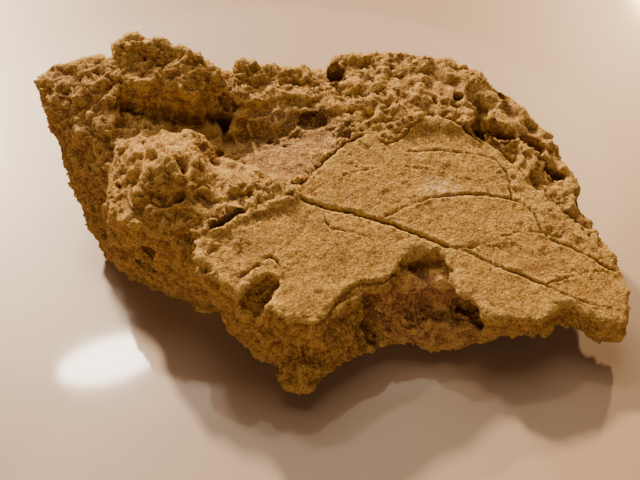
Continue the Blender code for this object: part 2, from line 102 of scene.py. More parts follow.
# Plan outline of the broken slab that carries the leaf, from the leaf's stalk end along
# the far margin to the tip and back along the broken near edge.
SLAB_OUTLINE = [
    (4, -8), (13, 4), (19, 9), (32, 13.5), (41, 11.5), (48, 6), (55, -3.5), (62.5, -11.5),
    (68, -18), (70, -24), (68.5, -27.5), (67.5, -31.5), (64, -32), (61, -31), (58, -30),
    (55.5, -29), (52.5, -31), (50.5, -32.5), (46, -33.3), (42, -33.5), (39.5, -33), (37, -30.5),
    (34, -27.5), (33.5, -23), (32, -20.5), (29.5, -19), (27.5, -20), (24.5, -22.5), (23.5, -24.5),
    (22.5, -27), (20, -29.5), (17, -31), (13.5, -33), (10.5, -36), (8.5, -38), (6.5, -39.5),
    (3, -39.2), (0.5, -38.5), (-1, -35.5), (-2.5, -33), (-6, -32), (-8.5, -32.3), (-11.5, -30.5),
    (-15, -28), (-15.5, -24), (-12, -20), (-3, -14), (1, -12.5), (4, -12),
]

# Plan outline of the smooth print within it: the leaf itself, up to its margin, without
# the rough patch at its far side and without the scar at the near edge.
PRINT_OUTLINE = [
    (4, -8), (6.5, -4.5), (10, 0), (13, 3.5), (17.5, 7), (20.5, 6.3), (21.7, 5), (23.5, 5.5),
    (25.5, 7), (27.5, 10), (31, 12.7), (34, 13.8), (39, 12), (43.5, 8), (46.5, 5), (48, 0),
    (48, -5.2), (51, -7), (53, -11.5), (56.5, -15), (61.5, -16.8), (68, -20.2), (70, -24),
    (68.5, -27.5), (67, -31.5), (61, -31), (57, -29), (52.5, -31), (46, -33), (39.5, -33),
    (37, -30.5), (34, -27), (33.5, -22.5), (32, -20.5), (29.5, -19), (27.5, -20), (24.5, -22.5),
    (23.5, -24), (22.5, -26), (21, -27.5), (18.5, -28.5), (16, -29), (14, -30), (12.3, -31.7),
    (10, -33.5), (7.5, -36.5), (5.3, -37.5), (2.9, -35), (0.2, -31.5), (-2.5, -28.5), (-5.5, -26),
    (-7.5, -23), (-6.4, -20.3), (-1.7, -16.2), (4, -12),
]

# Plan outline of the smooth floor of the hollow between the boss and the leaf's stalk end.
VALLEY_OUTLINE = [
    (-14, 10), (-12, 3), (-7, -4.5), (3, -8), (12, 4), (9, 11), (3, 14), (-6, 13),
]

# The blocks that the stone is massed from. Each is the hull of its corners.
BLOCKS = {
    "core": [
        (-38.5, -5, -1), (-33, -10, -1), (-25, -14, -1), (-17, -18.5, -1), (-8, -22, -1),
        (8, -25, -1), (26, -24, -1), (33, -10, -1), (33, 6, -1), (24, 22, -1), (-12, 26, -1),
        (-34, 23, -1), (-42, 8, -1), (-34, -4, 18), (-24, -14, 18), (-12, -22, 19), (4, -24, 19),
        (22, -18, 16), (40, -16, 13), (52, 0, 14), (44, 18, 16), (12, 28, 20), (-20, 28, 20),
        (-44, 20, 18),
    ],
    "left_end": [
        (-54.8, 21.5, 30), (-54.2, 23.5, 30.8), (-53, 25.8, 31.8), (-50.5, 26, 32.7),
        (-46, 26.5, 33), (-41, 26, 34), (-38, 24.5, 34.5), (-53.6, 19.2, 27.4), (-49.6, 14.5, 14),
        (-45.8, 5.5, 8), (-41.3, -2.5, 3), (-39, -5, 0), (-36, 17, 33), (-35, 8, 28),
        (-36.5, 1, 22), (-36.5, -5, 12), (-36.5, -7.5, 4), (-52, 31, 27), (-49, 34, 17),
        (-40, 33, 4), (-36, 34, 24), (-30, 20, 4),
    ],
    "knob_ridge": [
        (-37.5, 25, 37), (-36, 27.5, 37.5), (-34, 27.5, 38), (-24, 25, 37.5), (-18, 23, 36),
        (-13, 21, 33), (-36, 19, 34.5), (-35, 16, 31.5), (-28.5, 15, 32.5), (-23, 16, 33),
        (-18, 15, 31.5), (-15, 17, 31.5), (-35, 16.5, 27), (-28, 16, 26), (-18, 17, 26),
        (-37, 35, 27), (-12, 32, 25), (-35, 37, 12), (-12, 35, 10), (-33, 33, 3), (-12, 32, 3),
        (-33, 16, 3), (-14, 16, 3),
    ],
    "saddle": [
        (-11, 24.5, 32), (-8.5, 25, 32.3), (-3, 25, 30.6), (1.5, 26, 30.6), (7.5, 26.5, 30.4),
        (-15, 18, 30), (-12, 16.5, 28.6), (-7, 15, 28), (-3, 13.5, 27.2), (1.5, 13, 27.2),
        (8.5, 15, 27.6), (-12, 33, 24), (8, 34, 24), (-12, 35, 3), (8, 36, 3), (-12, 16.5, 22),
        (0, 14, 21), (8, 15, 21),
    ],
    "shelf_foot": [
        (-11, 14, 25.8), (-4.5, 11.6, 25.6), (1, 12, 25.8), (8.5, 13.8, 26.6), (-11.5, 11.5, 22.5),
        (-4.5, 8.5, 22.2), (1.5, 8, 23), (8.5, 8.5, 25), (-11, 17, 21), (-4, 16, 20), (8, 16, 20),
    ],
    "shelf": [
        (-12, 17, 28), (-11.5, 14.2, 27.2), (-9.5, 12, 26.7), (-4.5, 11.2, 26.5), (1.5, 12, 26.8),
        (1, 17, 28), (-11, 14, 25.6), (-5, 12, 25.3), (1, 12.5, 25.5), (-6, 18, 25),
    ],
    "massif": [
        (8.5, 26, 29.5), (10.5, 28.5, 31), (15, 30.5, 31.5), (18.5, 31.5, 31.5),
        (25.5, 32.5, 31.5), (29, 30.5, 31), (37.5, 32, 30), (42.5, 30.5, 28.5), (45.5, 29.5, 27.5),
        (46, 27.5, 27), (8.5, 17.5, 28), (10, 11.5, 27), (11.5, 7, 25.5), (13.5, 5.5, 25.5),
        (19, 9, 27.5), (25.5, 11.5, 27.3), (32, 13.5, 26.7), (40.5, 12, 25), (9, 35, 24),
        (26, 39, 24), (40, 37.5, 21), (10, 37, 6), (25, 40, 6), (40, 36, 6), (12, 32, 1),
        (36, 32, 1), (12, 8, 3), (40, 12, 3),
    ],
    "shoulder": [
        (46, 27, 26.5), (48, 25.5, 26), (50.5, 24.5, 25.5), (52, 22.5, 24.5), (54, 19.5, 23.5),
        (58.3, 15.5, 22), (59.2, 12.5, 21), (60.8, 11.5, 19.3), (60.3, 7, 17.8), (44, 11, 24),
        (48, 6.5, 22), (52.5, 1.5, 20), (55, 24, 10), (60, 12, 8), (61, 2, 7), (44, 28, 3),
        (42, 5, 2),
    ],
    "right_edge": [
        (60.5, 11, 18.8), (60.2, 7, 17.6), (61, 4.5, 16.2), (63.2, -4, 15), (66.7, -12, 13.5),
        (68.3, -18.5, 12), (52.5, 1.5, 19.5), (55, -3.5, 18), (59, -7, 16.5), (62.5, -11.5, 15),
        (65.5, -16.5, 13), (60, 10, 8), (63, 0, 7), (66, -10, 7), (67.5, -20, 6.5), (50, 4, 4),
        (52, -10, 3.5), (60, -20, 4),
    ],
    "boss": [
        (-35.5, -4.5, 23), (-35.5, -8.5, 21), (-36, 0.5, 25), (-33, 2, 27), (-29.5, 3.2, 28.6),
        (-24, 5.6, 28.8), (-20, 4.6, 29.6), (-16.5, 3.6, 29), (-14.5, 2, 28), (-13.5, -1, 27),
        (-12.5, -3.5, 26), (-13.5, -11, 27), (-12.5, -13.5, 25.5), (-15, -18, 24),
        (-21, -21, 22.5), (-25, -19.5, 23), (-30.5, -17, 21.5), (-34.5, -12, 20), (-25, -10, 31),
        (-22.5, -9, 31.5), (-18, -12.5, 30.5), (-34, -8, 10), (-32, 4, 10), (-12, 5, 12),
        (-12, -16, 12), (-22, -20, 12),
    ],
    "left_wall": [
        (-36, -8, 20), (-36, -8.5, 14), (-34.5, -11, 6), (-38, -4.5, -1), (-28.5, -14.5, 14),
        (-28, -14, 5), (-22, -19.5, 14), (-18.5, -21, 6), (-17.5, -24.5, 14), (-15, -25, 20),
        (-12, -26, 14), (-33, -10, -1), (-25, -13.5, -1), (-17, -18.5, -1), (-30, 5, 20),
        (-10, 5, 20), (-30, 5, -1), (-10, -10, -1), (-8, -14, 20),
    ],
    "skirt": [
        (-14, 2, 26), (-12.5, -2, 25.5), (-7, -6.5, 25.5), (-2, -7, 25.5), (3.5, -9.5, 25.8),
        (3.5, -12.5, 25.3), (-5.5, -14.5, 25.5), (-10.5, -17.5, 25), (-14.5, -22.5, 24.5),
        (-17, -22, 24), (-16, -10, 27), (-14, 2, 16), (3, -9, 16), (-14, -22, 16),
    ],
    "trough_floor": [
        (-35, 17, 27.5), (-36, 1, 26), (-30, 6, 27), (-28, 17, 25), (-22, 8, 24.5),
        (-14, 16, 23.5), (-13, 7, 22.5), (-35, 17, 15), (-35, 2, 15), (-13, 16, 15), (-13, 4, 15),
    ],
    "valley": [
        (-14, 9, 21.5), (-12, 2.5, 22.5), (-5, 8.5, 21.5), (3.5, 12.5, 22.5), (10, 8, 25.5),
        (13, 4.5, 26.5), (4.5, -7.5, 25), (4, 1, 24.5), (-2.5, 0, 23.5), (-7, -6, 24.8),
        (-2, -7, 25), (-12, 16, 21), (8, 17, 22), (-14, 8, 12), (10, 12, 12), (4, -10, 12),
    ],
    "prow": [
        (-15, -30.5, 22), (-7.5, -33, 20.5), (-3, -33.5, 19.5), (-1, -36, 18.5), (2, -38.5, 17.5),
        (7, -37, 17), (10, -35.5, 17), (14, -31, 17), (18, -29.5, 16.5), (20, -24, 16),
        (-14, -24, 22), (-10, -25.5, 2), (-8, -31.5, 3.5), (-3.5, -36, 3.5), (0.5, -39.5, 3.5),
        (9, -40, 4.5), (13.5, -37.5, 4.5), (18, -34, 3.5), (-8, -22, -1), (8, -25, -1),
        (22, -28, 2), (4, -38, 12),
    ],
    "prow_tip": [
        (-1.5, -39.5, 3.5), (0, -41.5, 3), (0, -41.5, 6), (2.5, -43.8, 3), (6, -44.5, 3.5),
        (9, -42.5, 4), (8.5, -41.5, 8), (3, -40.5, 9), (6, -36, 2.5), (10, -38, 5),
    ],
    "foot": [
        (19, -33, 3.5), (24, -31, 3), (31, -30.5, 3), (36, -32.5, 2), (40, -31, 2.5),
        (43.5, -31, 5), (22, -28, 8.5), (27, -28, 9), (33, -28, 8.5), (42, -28, 10), (20, -14, 1),
        (40, -14, 2), (43, -20, 12), (22, -22, 14),
    ],
    "front_ledge": [
        (22, -24, 15.8), (30, -21, 16.2), (34.5, -24, 14.5), (24, -28, 13.8), (30, -28.5, 13.3),
        (34, -27.5, 12.5), (24, -25, 11), (33, -25, 10.5), (28, -18, 11), (23, -18, 15),
    ],
}

# Rounded lumps fused to the blocks: centre, and radii along X, Y and Z.
LUMPS = {
    "knob_left": ((-34, 26, 35.5), (3.6, 3.4, 3.2)),
    "knob_middle": ((-28, 25.5, 35.2), (3.8, 3.2, 3.2)),
    "knob_right": ((-21, 23, 34), (4.2, 3, 3)),
    "saddle_bump": ((-8.5, 24, 30.5), (2.8, 2.8, 2.6)),
    "saddle_bump_small": ((-2.8, 24.5, 28.9), (2.2, 2, 2)),
    "massif_brow": ((13.5, 29, 29.2), (3.6, 3, 2.8)),
    "shoulder_knob_back": ((49.5, 21.5, 23), (3.2, 2.8, 2.8)),
    "shoulder_knob_low": ((50.5, 14, 20), (2.6, 2.2, 2.4)),
    "shoulder_knob_right": ((57, 14.5, 19.5), (3.2, 2.6, 2.6)),
    "edge_knob": ((59.3, 8, 16), (2.4, 3, 2.6)),
    "stalk_end": ((25, -28.5, 6.8), (3.3, 3.2, 3.3)),
    "foot_ridge": ((33, -28.8, 6.6), (4, 2.2, 1.8)),
    "foot_lump": ((35.5, -31, 3.8), (3, 2.2, 1.9)),
    "boss_ear": ((-31, 2, 26), (4, 3, 2.6)),
}

# Hollows cut into the stone: centre, radii, and turn about Z and tilt about X in degrees.
HOLLOWS = {
    "arch": ((29, -29, 17.5), (4.6, 10, 2.6), 4, -14),
    "recess": ((30, -33, 10.8), (9, 8, 4.4), 12, 0),
    "recess_left": ((19.5, -33, 9.5), (2.6, 6.5, 6), 25, 0),
    "recess_eye": ((36.8, -29.5, 9.2), (3.6, 5, 2.1), 0, 0),
    "stem_hole": ((-3.6, -34, 18.3), (3.1, 5.6, 3.1), -35, 14),
    "trough": ((-20.5, 8.4, 30.2), (7.6, 4.6, 3.8), 2, 0),
    "trough_hole": ((-17.3, 12.5, 25.6), (2.8, 3, 1.2), 0, 0),
    "ledge_hole": ((-12.2, 17, 27.6), (2, 3.4, 1.9), 15, 0),
    "slit": ((6.2, 13, 25.7), (3.2, 4.2, 0.95), 0, 0),
    "back_hole": ((11.3, 26, 28.6), (2.2, 3, 3), 0, 0),
    "vug_wide": ((45.5, 13.8, 22.5), (5.2, 2.6, 4.2), -28, 0),
    "vug_gouge": ((44.6, 18, 25.4), (1.5, 4.5, 2.6), 8, 0),
    "vug_back": ((49, 22.8, 26), (3, 1.6, 2.2), -35, 0),
    "vug_right": ((54.4, 10.4, 20), (3.8, 2, 3.6), -30, 0),
    "vug_far": ((59, 4.4, 17.6), (3.2, 1.8, 2.6), -40, 0),
    "vug_edge": ((63.5, -2.5, 15.4), (2.8, 1.4, 1.8), -55, 0),
    "vug_small": ((39, 19.6, 27.8), (1.5, 1.5, 1.8), 0, 0),
    "boss_hollow": ((-22.4, -15.6, 29), (5, 2.4, 2.8), -4, 0),
    "wall_hole": ((-28.6, -15.2, 8.8), (2.3, 3, 1.4), 20, 0),
    "wall_step": ((-27.5, -17.5, 14.5), (5, 2.6, 2), 32, 0),
}

# The grain of the fused blocks and of the fine skin, and the triangles that are kept.
VOXEL = 0.75
FINE_VOXEL = 0.4
SMOOTHING_STEPS = 2
VISUAL_TRIANGLES = 192000

# The fine skin on the rough parts: how far it is torn, then its grit, its crumbs of two
# sizes, its creases, its ragged pores and its thin beds.
TEAR_REACH = 0.9
TEAR_SIZE = 1.5
GRIT_HEIGHT = 0.6
GRIT_SIZE = 2.4
GRIT_FRACTAL = (0.35, 2.2, 4)
CRUMB_HEIGHT = 0.22
CRUMB_SIZE = 1.3
CRUMB_MIDDLE = 0.45
SMALL_CRUMB_HEIGHT = 0.22
SMALL_CRUMB_SIZE = 0.7
CREASE_DEPTH = 0.4
CREASE_SIZE = 3.4
CREASE_SHARE = 0.1
PORE_DEPTH = 0.55
PORE_SIZE = 1.8
PORE_START = 0.36
PORE_SLOPE = 0.2
THIN_BED_HEIGHT = 0.28
THIN_BED_THICKNESS = 1.3
THIN_BED_WAVER = 1.2
THIN_BED_WAVER_SIZE = 9.0
THIN_BED_STEEPNESS = 2.2

# How the fine skin varies from place to place, and the calmness at which none is left.
VARY_MEAN = 0.9
VARY_REACH = 0.8
VARY_SIZE = 9.0
VARY_LEAST = 0.4
FINE_CALM = 0.08

# How far, and over what lengths, the rough parts are pushed out of their smooth outlines.
WARP_REACH = 0.7
WARP_SIZE = 3.0
WALL_WARP = 0.35

# The fine skin on the print: faint grit, crumbs and swells, and flakes that came off it.
PRINT_GRIT = 0.14
PRINT_GRIT_SIZE = 1.5
PRINT_GRIT_FRACTAL = (0.3, 2.1, 3)
PRINT_CRUMB = 0.1
PRINT_SWELL = 0.2
PRINT_SWELL_SIZE = 9.0
FLAKE_DEPTH = 0.12
FLAKE_SIZE = 5.5
FLAKE_RAG = 0.35
FLAKE_RAG_SIZE = 1.1
FLAKE_START = 0.16
FLAKE_SLOPE = 0.05

# What keeps noises of a like size apart.
KNOB_SEED = Vector((5, 1, 9))
BACK_SEED = Vector((3, 2, 7))
WEAR_SEED = Vector((6, 6, 6))
VARY_SEED = Vector((8, 8, 8))
SMALL_CRUMB_SEED = Vector((1, 2, 3))
CREASE_SEED = Vector((7, 3, 1))
PORE_SEED = Vector((2, 9, 4))
SWELL_SEED = Vector((4, 4, 4))

# How far the fine lines stray from their points and taper to their ends, and the lip
# beside each: its height, and its middle and width in half widths of the line.
LINE_STRAY = 0.3
LINE_STRAY_SIZE = 1.7
LINE_TAPER = 1.5
LINE_END = 0.25
LINE_LIP = 0.07
LIP_MIDDLE = 1.9
LIP_WIDTH = 0.9

# How far from the leaf's plane the fine lines are cut, and how the shallow ones are worn.
LINE_REACH = 2.2
WEAR_SIZE = 4.0
WEAR_SHARE = 1.3
WEAR_LEAST = 0.35
WEAR_MOST = 1.4
UNWORN_DEPTH = 1.0

# Where faces are split for the fine lines: how near to the leaf's plane, how much they
# have to face up, and how far beside the line.
SPLIT_REACH = 1.2
SPLIT_FACING = 0.5
SPLIT_MARGIN = 0.7

# How far beside a mark the skin is looked at for it.
MARK_MARGIN = 2

# What counts as skin that faces up, and as skin with all its roughness.
UP_FACING = 0.3
FULLY_ROUGH = 0.999

# The fine lines of the stone in plan: half width and depth, then the points.
FINE_LINES = {
    "midrib": (0.5, 1.3, [
        (4.4, -12), (5.6, -12.3), (8, -12.9), (11, -13.4), (14, -13.6), (16.3, -14), (19, -14.6),
        (21, -14.8), (23.5, -15.6), (25.8, -16.4), (28.8, -17.4), (31.3, -18.2), (33.5, -19),
    ]),
    "midrib_middle": (0.28, 0.25, [(33.2, -19), (35.6, -19.3), (37.8, -19.6), (39.1, -20.3)]),
    "midrib_tip": (0.38, 0.65, [
        (38.6, -20.1), (40.5, -21.1), (42, -21.8), (43.5, -22.2), (45.3, -22.7), (47.2, -23.3),
        (50, -24.3), (53.3, -25.6),
    ]),
    "midrib_end": (0.25, 0.16, [(52, -25), (55, -26.3), (59, -27.6), (63, -28.6)]),
    "vein_first_low": (0.32, 0.4, [
        (20.5, -14.1), (22.4, -12.7), (24.5, -11.1), (26.6, -9.9), (29.4, -8.2), (32.2, -7.1),
    ]),
    "vein_first": (0.32, 0.6, [
        (31, -7.6), (35.1, -6.4), (38.6, -5.4), (42.2, -5.1), (46, -5.3), (48.5, -5.6),
    ]),
    "vein_second": (0.27, 0.2, [
        (32.6, -19.6), (35.2, -19), (38.1, -18.4), (41.5, -17), (44.1, -15.5), (47.4, -13.8),
        (50.7, -12.9), (53.8, -12.9), (56.9, -13.2),
    ]),
    "vein_tip": (0.26, 0.2, [
        (52, -25.1), (54.2, -24), (56.4, -23), (58.5, -22.3), (61.4, -21), (64, -20.4),
        (66.4, -20.8),
    ]),
    "vein_stalk": (0.24, 0.14, [
        (5, -11), (9, -7.5), (14, -4), (19, -2), (24, -0.8), (29, -0.3), (34, -1), (38, -2),
    ]),
    "leaf_margin_far": (0.32, 0.45, [
        (26.1, 3.5), (28.7, 3.9), (31.3, 4.6), (34.6, 5.1), (37.8, 5.1), (41.1, 5.1), (43.9, 4.8),
        (45.6, 4.2), (46.3, 3), (47.6, 1.4), (48, -0.6),
    ]),
    "leaf_margin": (0.32, 0.36, [
        (48, -0.2), (47.9, -3.2), (47.9, -5.2), (49.5, -6), (51.1, -7), (52.3, -8.8),
        (52.9, -10.7), (53.1, -12.1), (54, -13.2), (55, -14.4),
    ]),
    "leaf_margin_tip": (0.38, 0.5, [
        (54.6, -14), (56.6, -14.9), (59, -15.8), (61.5, -16.8), (63.6, -17.7), (65.4, -19.3),
        (67.8, -20.2),
    ]),
    "flake_step": (0.3, 0.3, [
        (8.4, -14.5), (9.2, -16.5), (10, -18), (12.3, -18.1), (15, -18.4), (17.8, -19.2),
    ]),
    "stalk_crack": (0.38, 0.6, [
        (4, -8.2), (5.2, -6.7), (6.6, -4.5), (8.4, -2.2), (10.1, -0.2), (11.3, 1.3), (13.2, 3.5),
        (15.4, 5.2), (17.5, 6.9),
    ]),
    "skirt_crevice": (0.8, 1.3, [
        (-13.3, -21.4), (-11.8, -20.2), (-10.2, -19), (-8.4, -17.4), (-6.5, -16.3),
    ]),
    "massif_foot": (0.5, 0.6, [
        (34.2, 13.8), (36.8, 13.1), (38.9, 12.1), (41, 10.5), (43.4, 8.2),
    ]),
    "far_scallop": (0.6, 0.7, [
        (56.8, -4.1), (58.1, -5.5), (59.5, -7.2), (61.5, -8.2), (63.1, -8.9), (64.2, -10.3),
    ]),
    "chip_left": (0.4, 0.5, [(-6.8, -31), (-5.4, -29.4), (-4.3, -28.2), (-2.9, -27.7)]),
    "chip_right": (0.35, 0.35, [
        (-2.7, -26.6), (-1.4, -25.8), (-0.1, -26.5), (1.1, -28.9), (1.7, -30.8),
    ]),
    "fan_edge": (0.32, 0.35, [
        (20.3, 6.3), (21.7, 4.9), (23.2, 5.4), (25.5, 7.1), (27.3, 9.9), (30.8, 12.7),
    ]),
}

# Lines on the rough skin: half width and depth, less than 0 for a ridge, then the points.
SKIN_LINES = {
    "boss_crescent": (0.9, 1.3, [
        (-23.6, -5.1, 31.3), (-21.5, -6.6, 31.7), (-19.8, -8.6, 31.2), (-18.7, -10.7, 30.3),
        (-18.1, -12.7, 29.5), (-19.5, -13.7, 28.3),
    ]),
    "boss_arc": (0.9, -0.8, [
        (-30.4, -3.7, 28), (-27.8, -3.9, 29.2), (-24.1, -5.9, 31.1), (-21.7, -9, 31.5),
        (-20.6, -10.9, 30.5),
    ]),
    "boss_dent": (1.7, 1.2, [
        (-26.9, -14.5, 26.9), (-25.5, -15.1, 27), (-23.9, -15.5, 27), (-22.4, -15.4, 26.7),
        (-21, -15.4, 26.9), (-19.7, -15, 27.1),
    ]),
    "boss_rod": (0.5, -0.35, [
        (-25.2, -17.4, 24.8), (-22.9, -17.1, 25.3), (-20.5, -16.7, 26), (-19, -16.3, 26.1),
    ]),
    "lobe_edge": (0.8, -0.4, [
        (-18.4, -7.5, 30.9), (-17.7, -11.3, 29.8), (-17.2, -13.7, 28.3), (-15.3, -14.8, 26.2),
        (-13.1, -14.5, 25.2),
    ]),
    "valley_root": (0.6, -0.8, [
        (-7.9, 12.6, 25.5), (-7.2, 11.2, 23.9), (-6.2, 7.8, 22.9), (-5, 1.6, 24.1),
    ]),
    "valley_root_left": (0.5, -0.6, [(-11.2, 12.7, 24), (-10.3, 10.3, 22.4), (-8.4, 5.8, 23.1)]),
    "valley_root_right": (0.5, -0.7, [
        (3.7, 10.7, 25.3), (2, 9.2, 24.8), (0.3, 8.4, 24.1), (-2.3, 7.5, 23.4),
    ]),
    "notch": (0.7, 1.1, [(-38.2, 15.6, 31.3), (-36.9, 16.7, 32.4), (-35.2, 17.4, 33.9)]),
    "left_rim": (0.8, -0.7, [
        (-51.5, 18.5, 28.2), (-50.9, 17.6, 28), (-48.4, 15.9, 27.8), (-46, 14.5, 27.4),
    ]),
    "lobe_groove": (0.9, 1.5, [
        (-18.5, -22, 19.1), (-19.1, -22.5, 16.9), (-18.5, -23.2, 14.5), (-17.5, -22.1, 11),
    ]),
    "lobe_ridge": (0.7, -0.7, [(-16.9, -23.9, 20.1), (-17.6, -24.4, 17), (-16.8, -25, 13.5)]),
    "hole_rim": (0.6, -0.5, [
        (-7.4, -33.2, 20.5), (-6, -32.6, 20.4), (-4.6, -31.8, 19.6), (-2.9, -30.5, 17.2),
    ]),
    "ledge_dark": (0.8, 1.2, [(-20.3, 12.7, 25), (-18.2, 13.4, 24.8), (-16.5, 13.1, 24.7)]),
    "moss_ridge": (0.7, -0.9, [(28.6, -29.5, 7.3), (31.5, -30, 7), (34.4, -30.7, 6.9)]),
    "recess_arc": (0.5, 0.7, [
        (22, -28, 11.9), (23.5, -27, 13.1), (25.8, -27.2, 13.9), (27.6, -26, 12),
    ]),
}

# Pits in the rough skin: centre, radius and depth.
SKIN_PITS = [
    ((-25.3, -14.6, 27.5), 1.3, 0.9), ((-19.7, -15, 27.1), 1.3, 2), ((-13.5, 5.9, 22), 0.9, 1),
    ((-11.5, 3.9, 22.6), 1, 1.2), ((-9.7, 2.4, 23), 1, 1.2), ((-8, 0, 24), 0.9, 1),
    ((-2.8, 8.4, 23.3), 1.1, 1.2), ((-1.2, 7.5, 23.6), 1, 1), ((0.6, 5.7, 24.4), 1, 1.1),
    ((-33.4, -6.9, 23.6), 0.8, 1.2), ((-29.1, -7.9, 27.2), 0.7, 0.8),
    ((-37.5, -3.9, 12.2), 1, 1.5), ((39, 20.4, 26.9), 1.1, 1.4), ((33.4, 18.3, 27.5), 0.9, 1.2),
    ((18.6, 12.4, 28), 1.6, 1.4), ((25.9, 24, 29.1), 0.9, 0.9), ((14.5, 13.5, 28.1), 1.1, 1),
    ((22.3, 18.3, 28.8), 0.9, 0.9), ((-27.3, -16.3, 11.3), 1.2, 1.5),
    ((-1.9, -32.9, 16.2), 1.8, 1), ((0.1, -38.4, 9.8), 1.5, 1.6), ((48.2, 13.5, 20.1), 1.8, 1.5),
    ((53, 6.4, 21.3), 1.5, 1.5), ((43.9, 15.7, 19.6), 1.6, 1.5),
]

# Plan outlines of a scar at the slab's near edge and of the rough fan at its far side.
SCAR_OUTLINE = [
    (10, -36.5), (11, -33.6), (12.3, -31.7), (14, -30.2), (16, -28.9), (18.5, -28.5), (21, -27.8),
    (22.5, -26), (24.5, -23.5), (26, -26), (22, -31), (16, -35), (12, -38),
]
FAN_OUTLINE = [
    (20.3, 6.3), (21.7, 4.9), (23.2, 5.4), (25.5, 7.1), (27.3, 9.9), (30.8, 12.7), (27, 12.3),
    (23, 10), (20.8, 8.2),
]
SCAR_DEPTH = 0.7
SCAR_ROUGHNESS = 0.6
FAN_RISE = 0.35
FAN_ROUGHNESS = 0.8

# The rings on the broken stalk end in the near recess: a point and the way it faces.
STALK_POINT = (25.2, -28, 7.5)
STALK_AXIS = (0, -0.86, 0.5)
STALK_REACH = 4.2
STALK_SPACING = 1.15
STALK_HEIGHT = 0.5

# Zones of the stone with a colour of their own, though the valley's darker, more orange colour is
# partly painted shade of the ridge behind it: centre, reach along X, Y and Z, and gain.
ZONES = {
    "valley": ((3, 5, 24.5), (17, 13, 7), 2.4),
    "recess": ((29, -29, 9), (14, 10, 9), 1.6),
    "left_end": ((-46, 12, 18), (18, 26, 22), 1.5),
    "pale": ((33, -5, 21.5), (5, 3.4, 3), 1.4),
}

# The masks of the material: how far below the leaf's plane the valley's colour, partly painted
# shade, starts, how deep a line is painted dark as shade and how far down it may face, where
# painted shade on steep faces starts and over what range it comes in, and the smoothing steps
# and gain of the hollows, whose colour is partly painted shade.
VALLEY_SHADE_DROP = 0.3
SHADED_LINE_DEPTH = 0.7
SHADED_LINE_FACING = -0.2
WALL_SHADE_START = 0.45
WALL_SHADE_RANGE = 0.6
FINE_HOLLOW = (6, 1.6)
WIDE_HOLLOW = (40, 0.45)

# The noises of the material: size in millimetres, detail, roughness and seed.
NOISES = {
    "sand": (0.42, 4, 0.68, 20),
    "grit": (1.3, 4, 0.62, 2),
    "cloud": (10, 3, 0.5, 0),
    "print_cloud": (7, 4, 0.6, 5),
    "speck": (0.8, 3, 0.6, 8),
    "dirt": (1.2, 5, 0.7, 9),
    "stain": (3.2, 5, 0.72, 17),
    "yellow": (3.5, 3, 0.6, 23),
    "fleck": (1.1, 4, 0.7, 12),
    "gloss": (1.6, 3, 0.5, 15),
}

# What the rough stone, the print and the recess waver between: the noise that they
# follow, the values of it at which each of the two tones is full, and the tones.
ROUGH_TONES = ("cloud", 0.35, 0.65, (0.44, 0.218, 0.044), (0.54, 0.285, 0.062))
PRINT_TONES = ("print_cloud", 0.35, 0.68, (0.39, 0.19, 0.03), (0.50, 0.27, 0.047))
RECESS_TONES = ("yellow", 0.48, 0.6, (0.58, 0.26, 0.11), (0.78, 0.44, 0.14))
RECESS_SHARE = 0.75
FLECK_RANGE = (0.42, 0.58)

# Tints laid over the stone in this order: the noise or mask that each follows, where it
# starts and is full, the share that it then has, and its colour.
ROUGH_TINTS = [
    ("grit", 0.50, 0.36, 0.65, (0.19, 0.077, 0.026)),
    ("grit", 0.52, 0.68, 0.5, (0.68, 0.42, 0.07)),
]
PRINT_TINTS = [
    ("speck", 0.55, 0.66, 0.6, (0.76, 0.50, 0.10)),
    ("dirt", 0.52, 0.66, 0.6, (0.20, 0.086, 0.026)),
    ("stain", 0.54, 0.66, 0.45, (0.27, 0.13, 0.028)),
]
ZONE_TINTS = [
    # partly painted shade: the valley floor is darker, as in the ridge's shade, and also more
    # orange
    ("valley", 0, 1, 0.85, (0.19, 0.083, 0.018)),
    ("left_end", 0, 1, 0.3, (0.24, 0.105, 0.04)),
]
STONE_TINTS = [
    # painted shade: faces that turn from up are darker and redder
    ("wall_shade", 0, 1, 0.5, (0.32, 0.13, 0.06)),
    ("pale_flecks", 0, 1, 0.85, (0.74, 0.54, 0.26)),
    # partly the stone's red-brown, partly painted shade and light: darker in the hollows, paler on
    # the fine crests
    ("wide_hollow", 0.6, 1, 0.25, (0.17, 0.060, 0.022)),
    ("fine_hollow", 0.56, 0.95, 0.5, (0.13, 0.046, 0.017)),
    ("fine_hollow", 0.46, 0.2, 0.5, (0.68, 0.43, 0.11)),
    # partly the sand's own grain, partly painted shade and light: dark where its bump sinks, pale
    # where it rises
    ("sand", 0.47, 0.35, 0.85, (0.10, 0.036, 0.014)),
    ("sand", 0.54, 0.65, 0.7, (0.88, 0.62, 0.15)),
    # painted shade: the fine lines are darker the deeper they are cut
    ("line", 0.2, 1, 0.9, (0.06, 0.024, 0.010)),
]

# The stone's dull sheen, and the bump of its sand, which is weaker on the print.
ROUGHNESS = ("gloss", 0.3, 0.7, 0.72, 0.95)
SPECULAR = 0.35
BUMP_STRENGTH = 1.0
BUMP_HEIGHT = 0.6
BUMP_CELLS = 0.7
BUMP_CELL_SHARE = -0.35
PRINT_BUMP = 0.7

# The pale surface below the stone: its width in metres, and its colour and thin gloss.
FLOOR_WIDTH = 4
FLOOR_LOOK = {
    "Base Color": (0.39, 0.258, 0.168, 1),
    "Roughness": 0.45,
    "Coat Weight": 0.5,
    "Coat Roughness": 0.06,
}

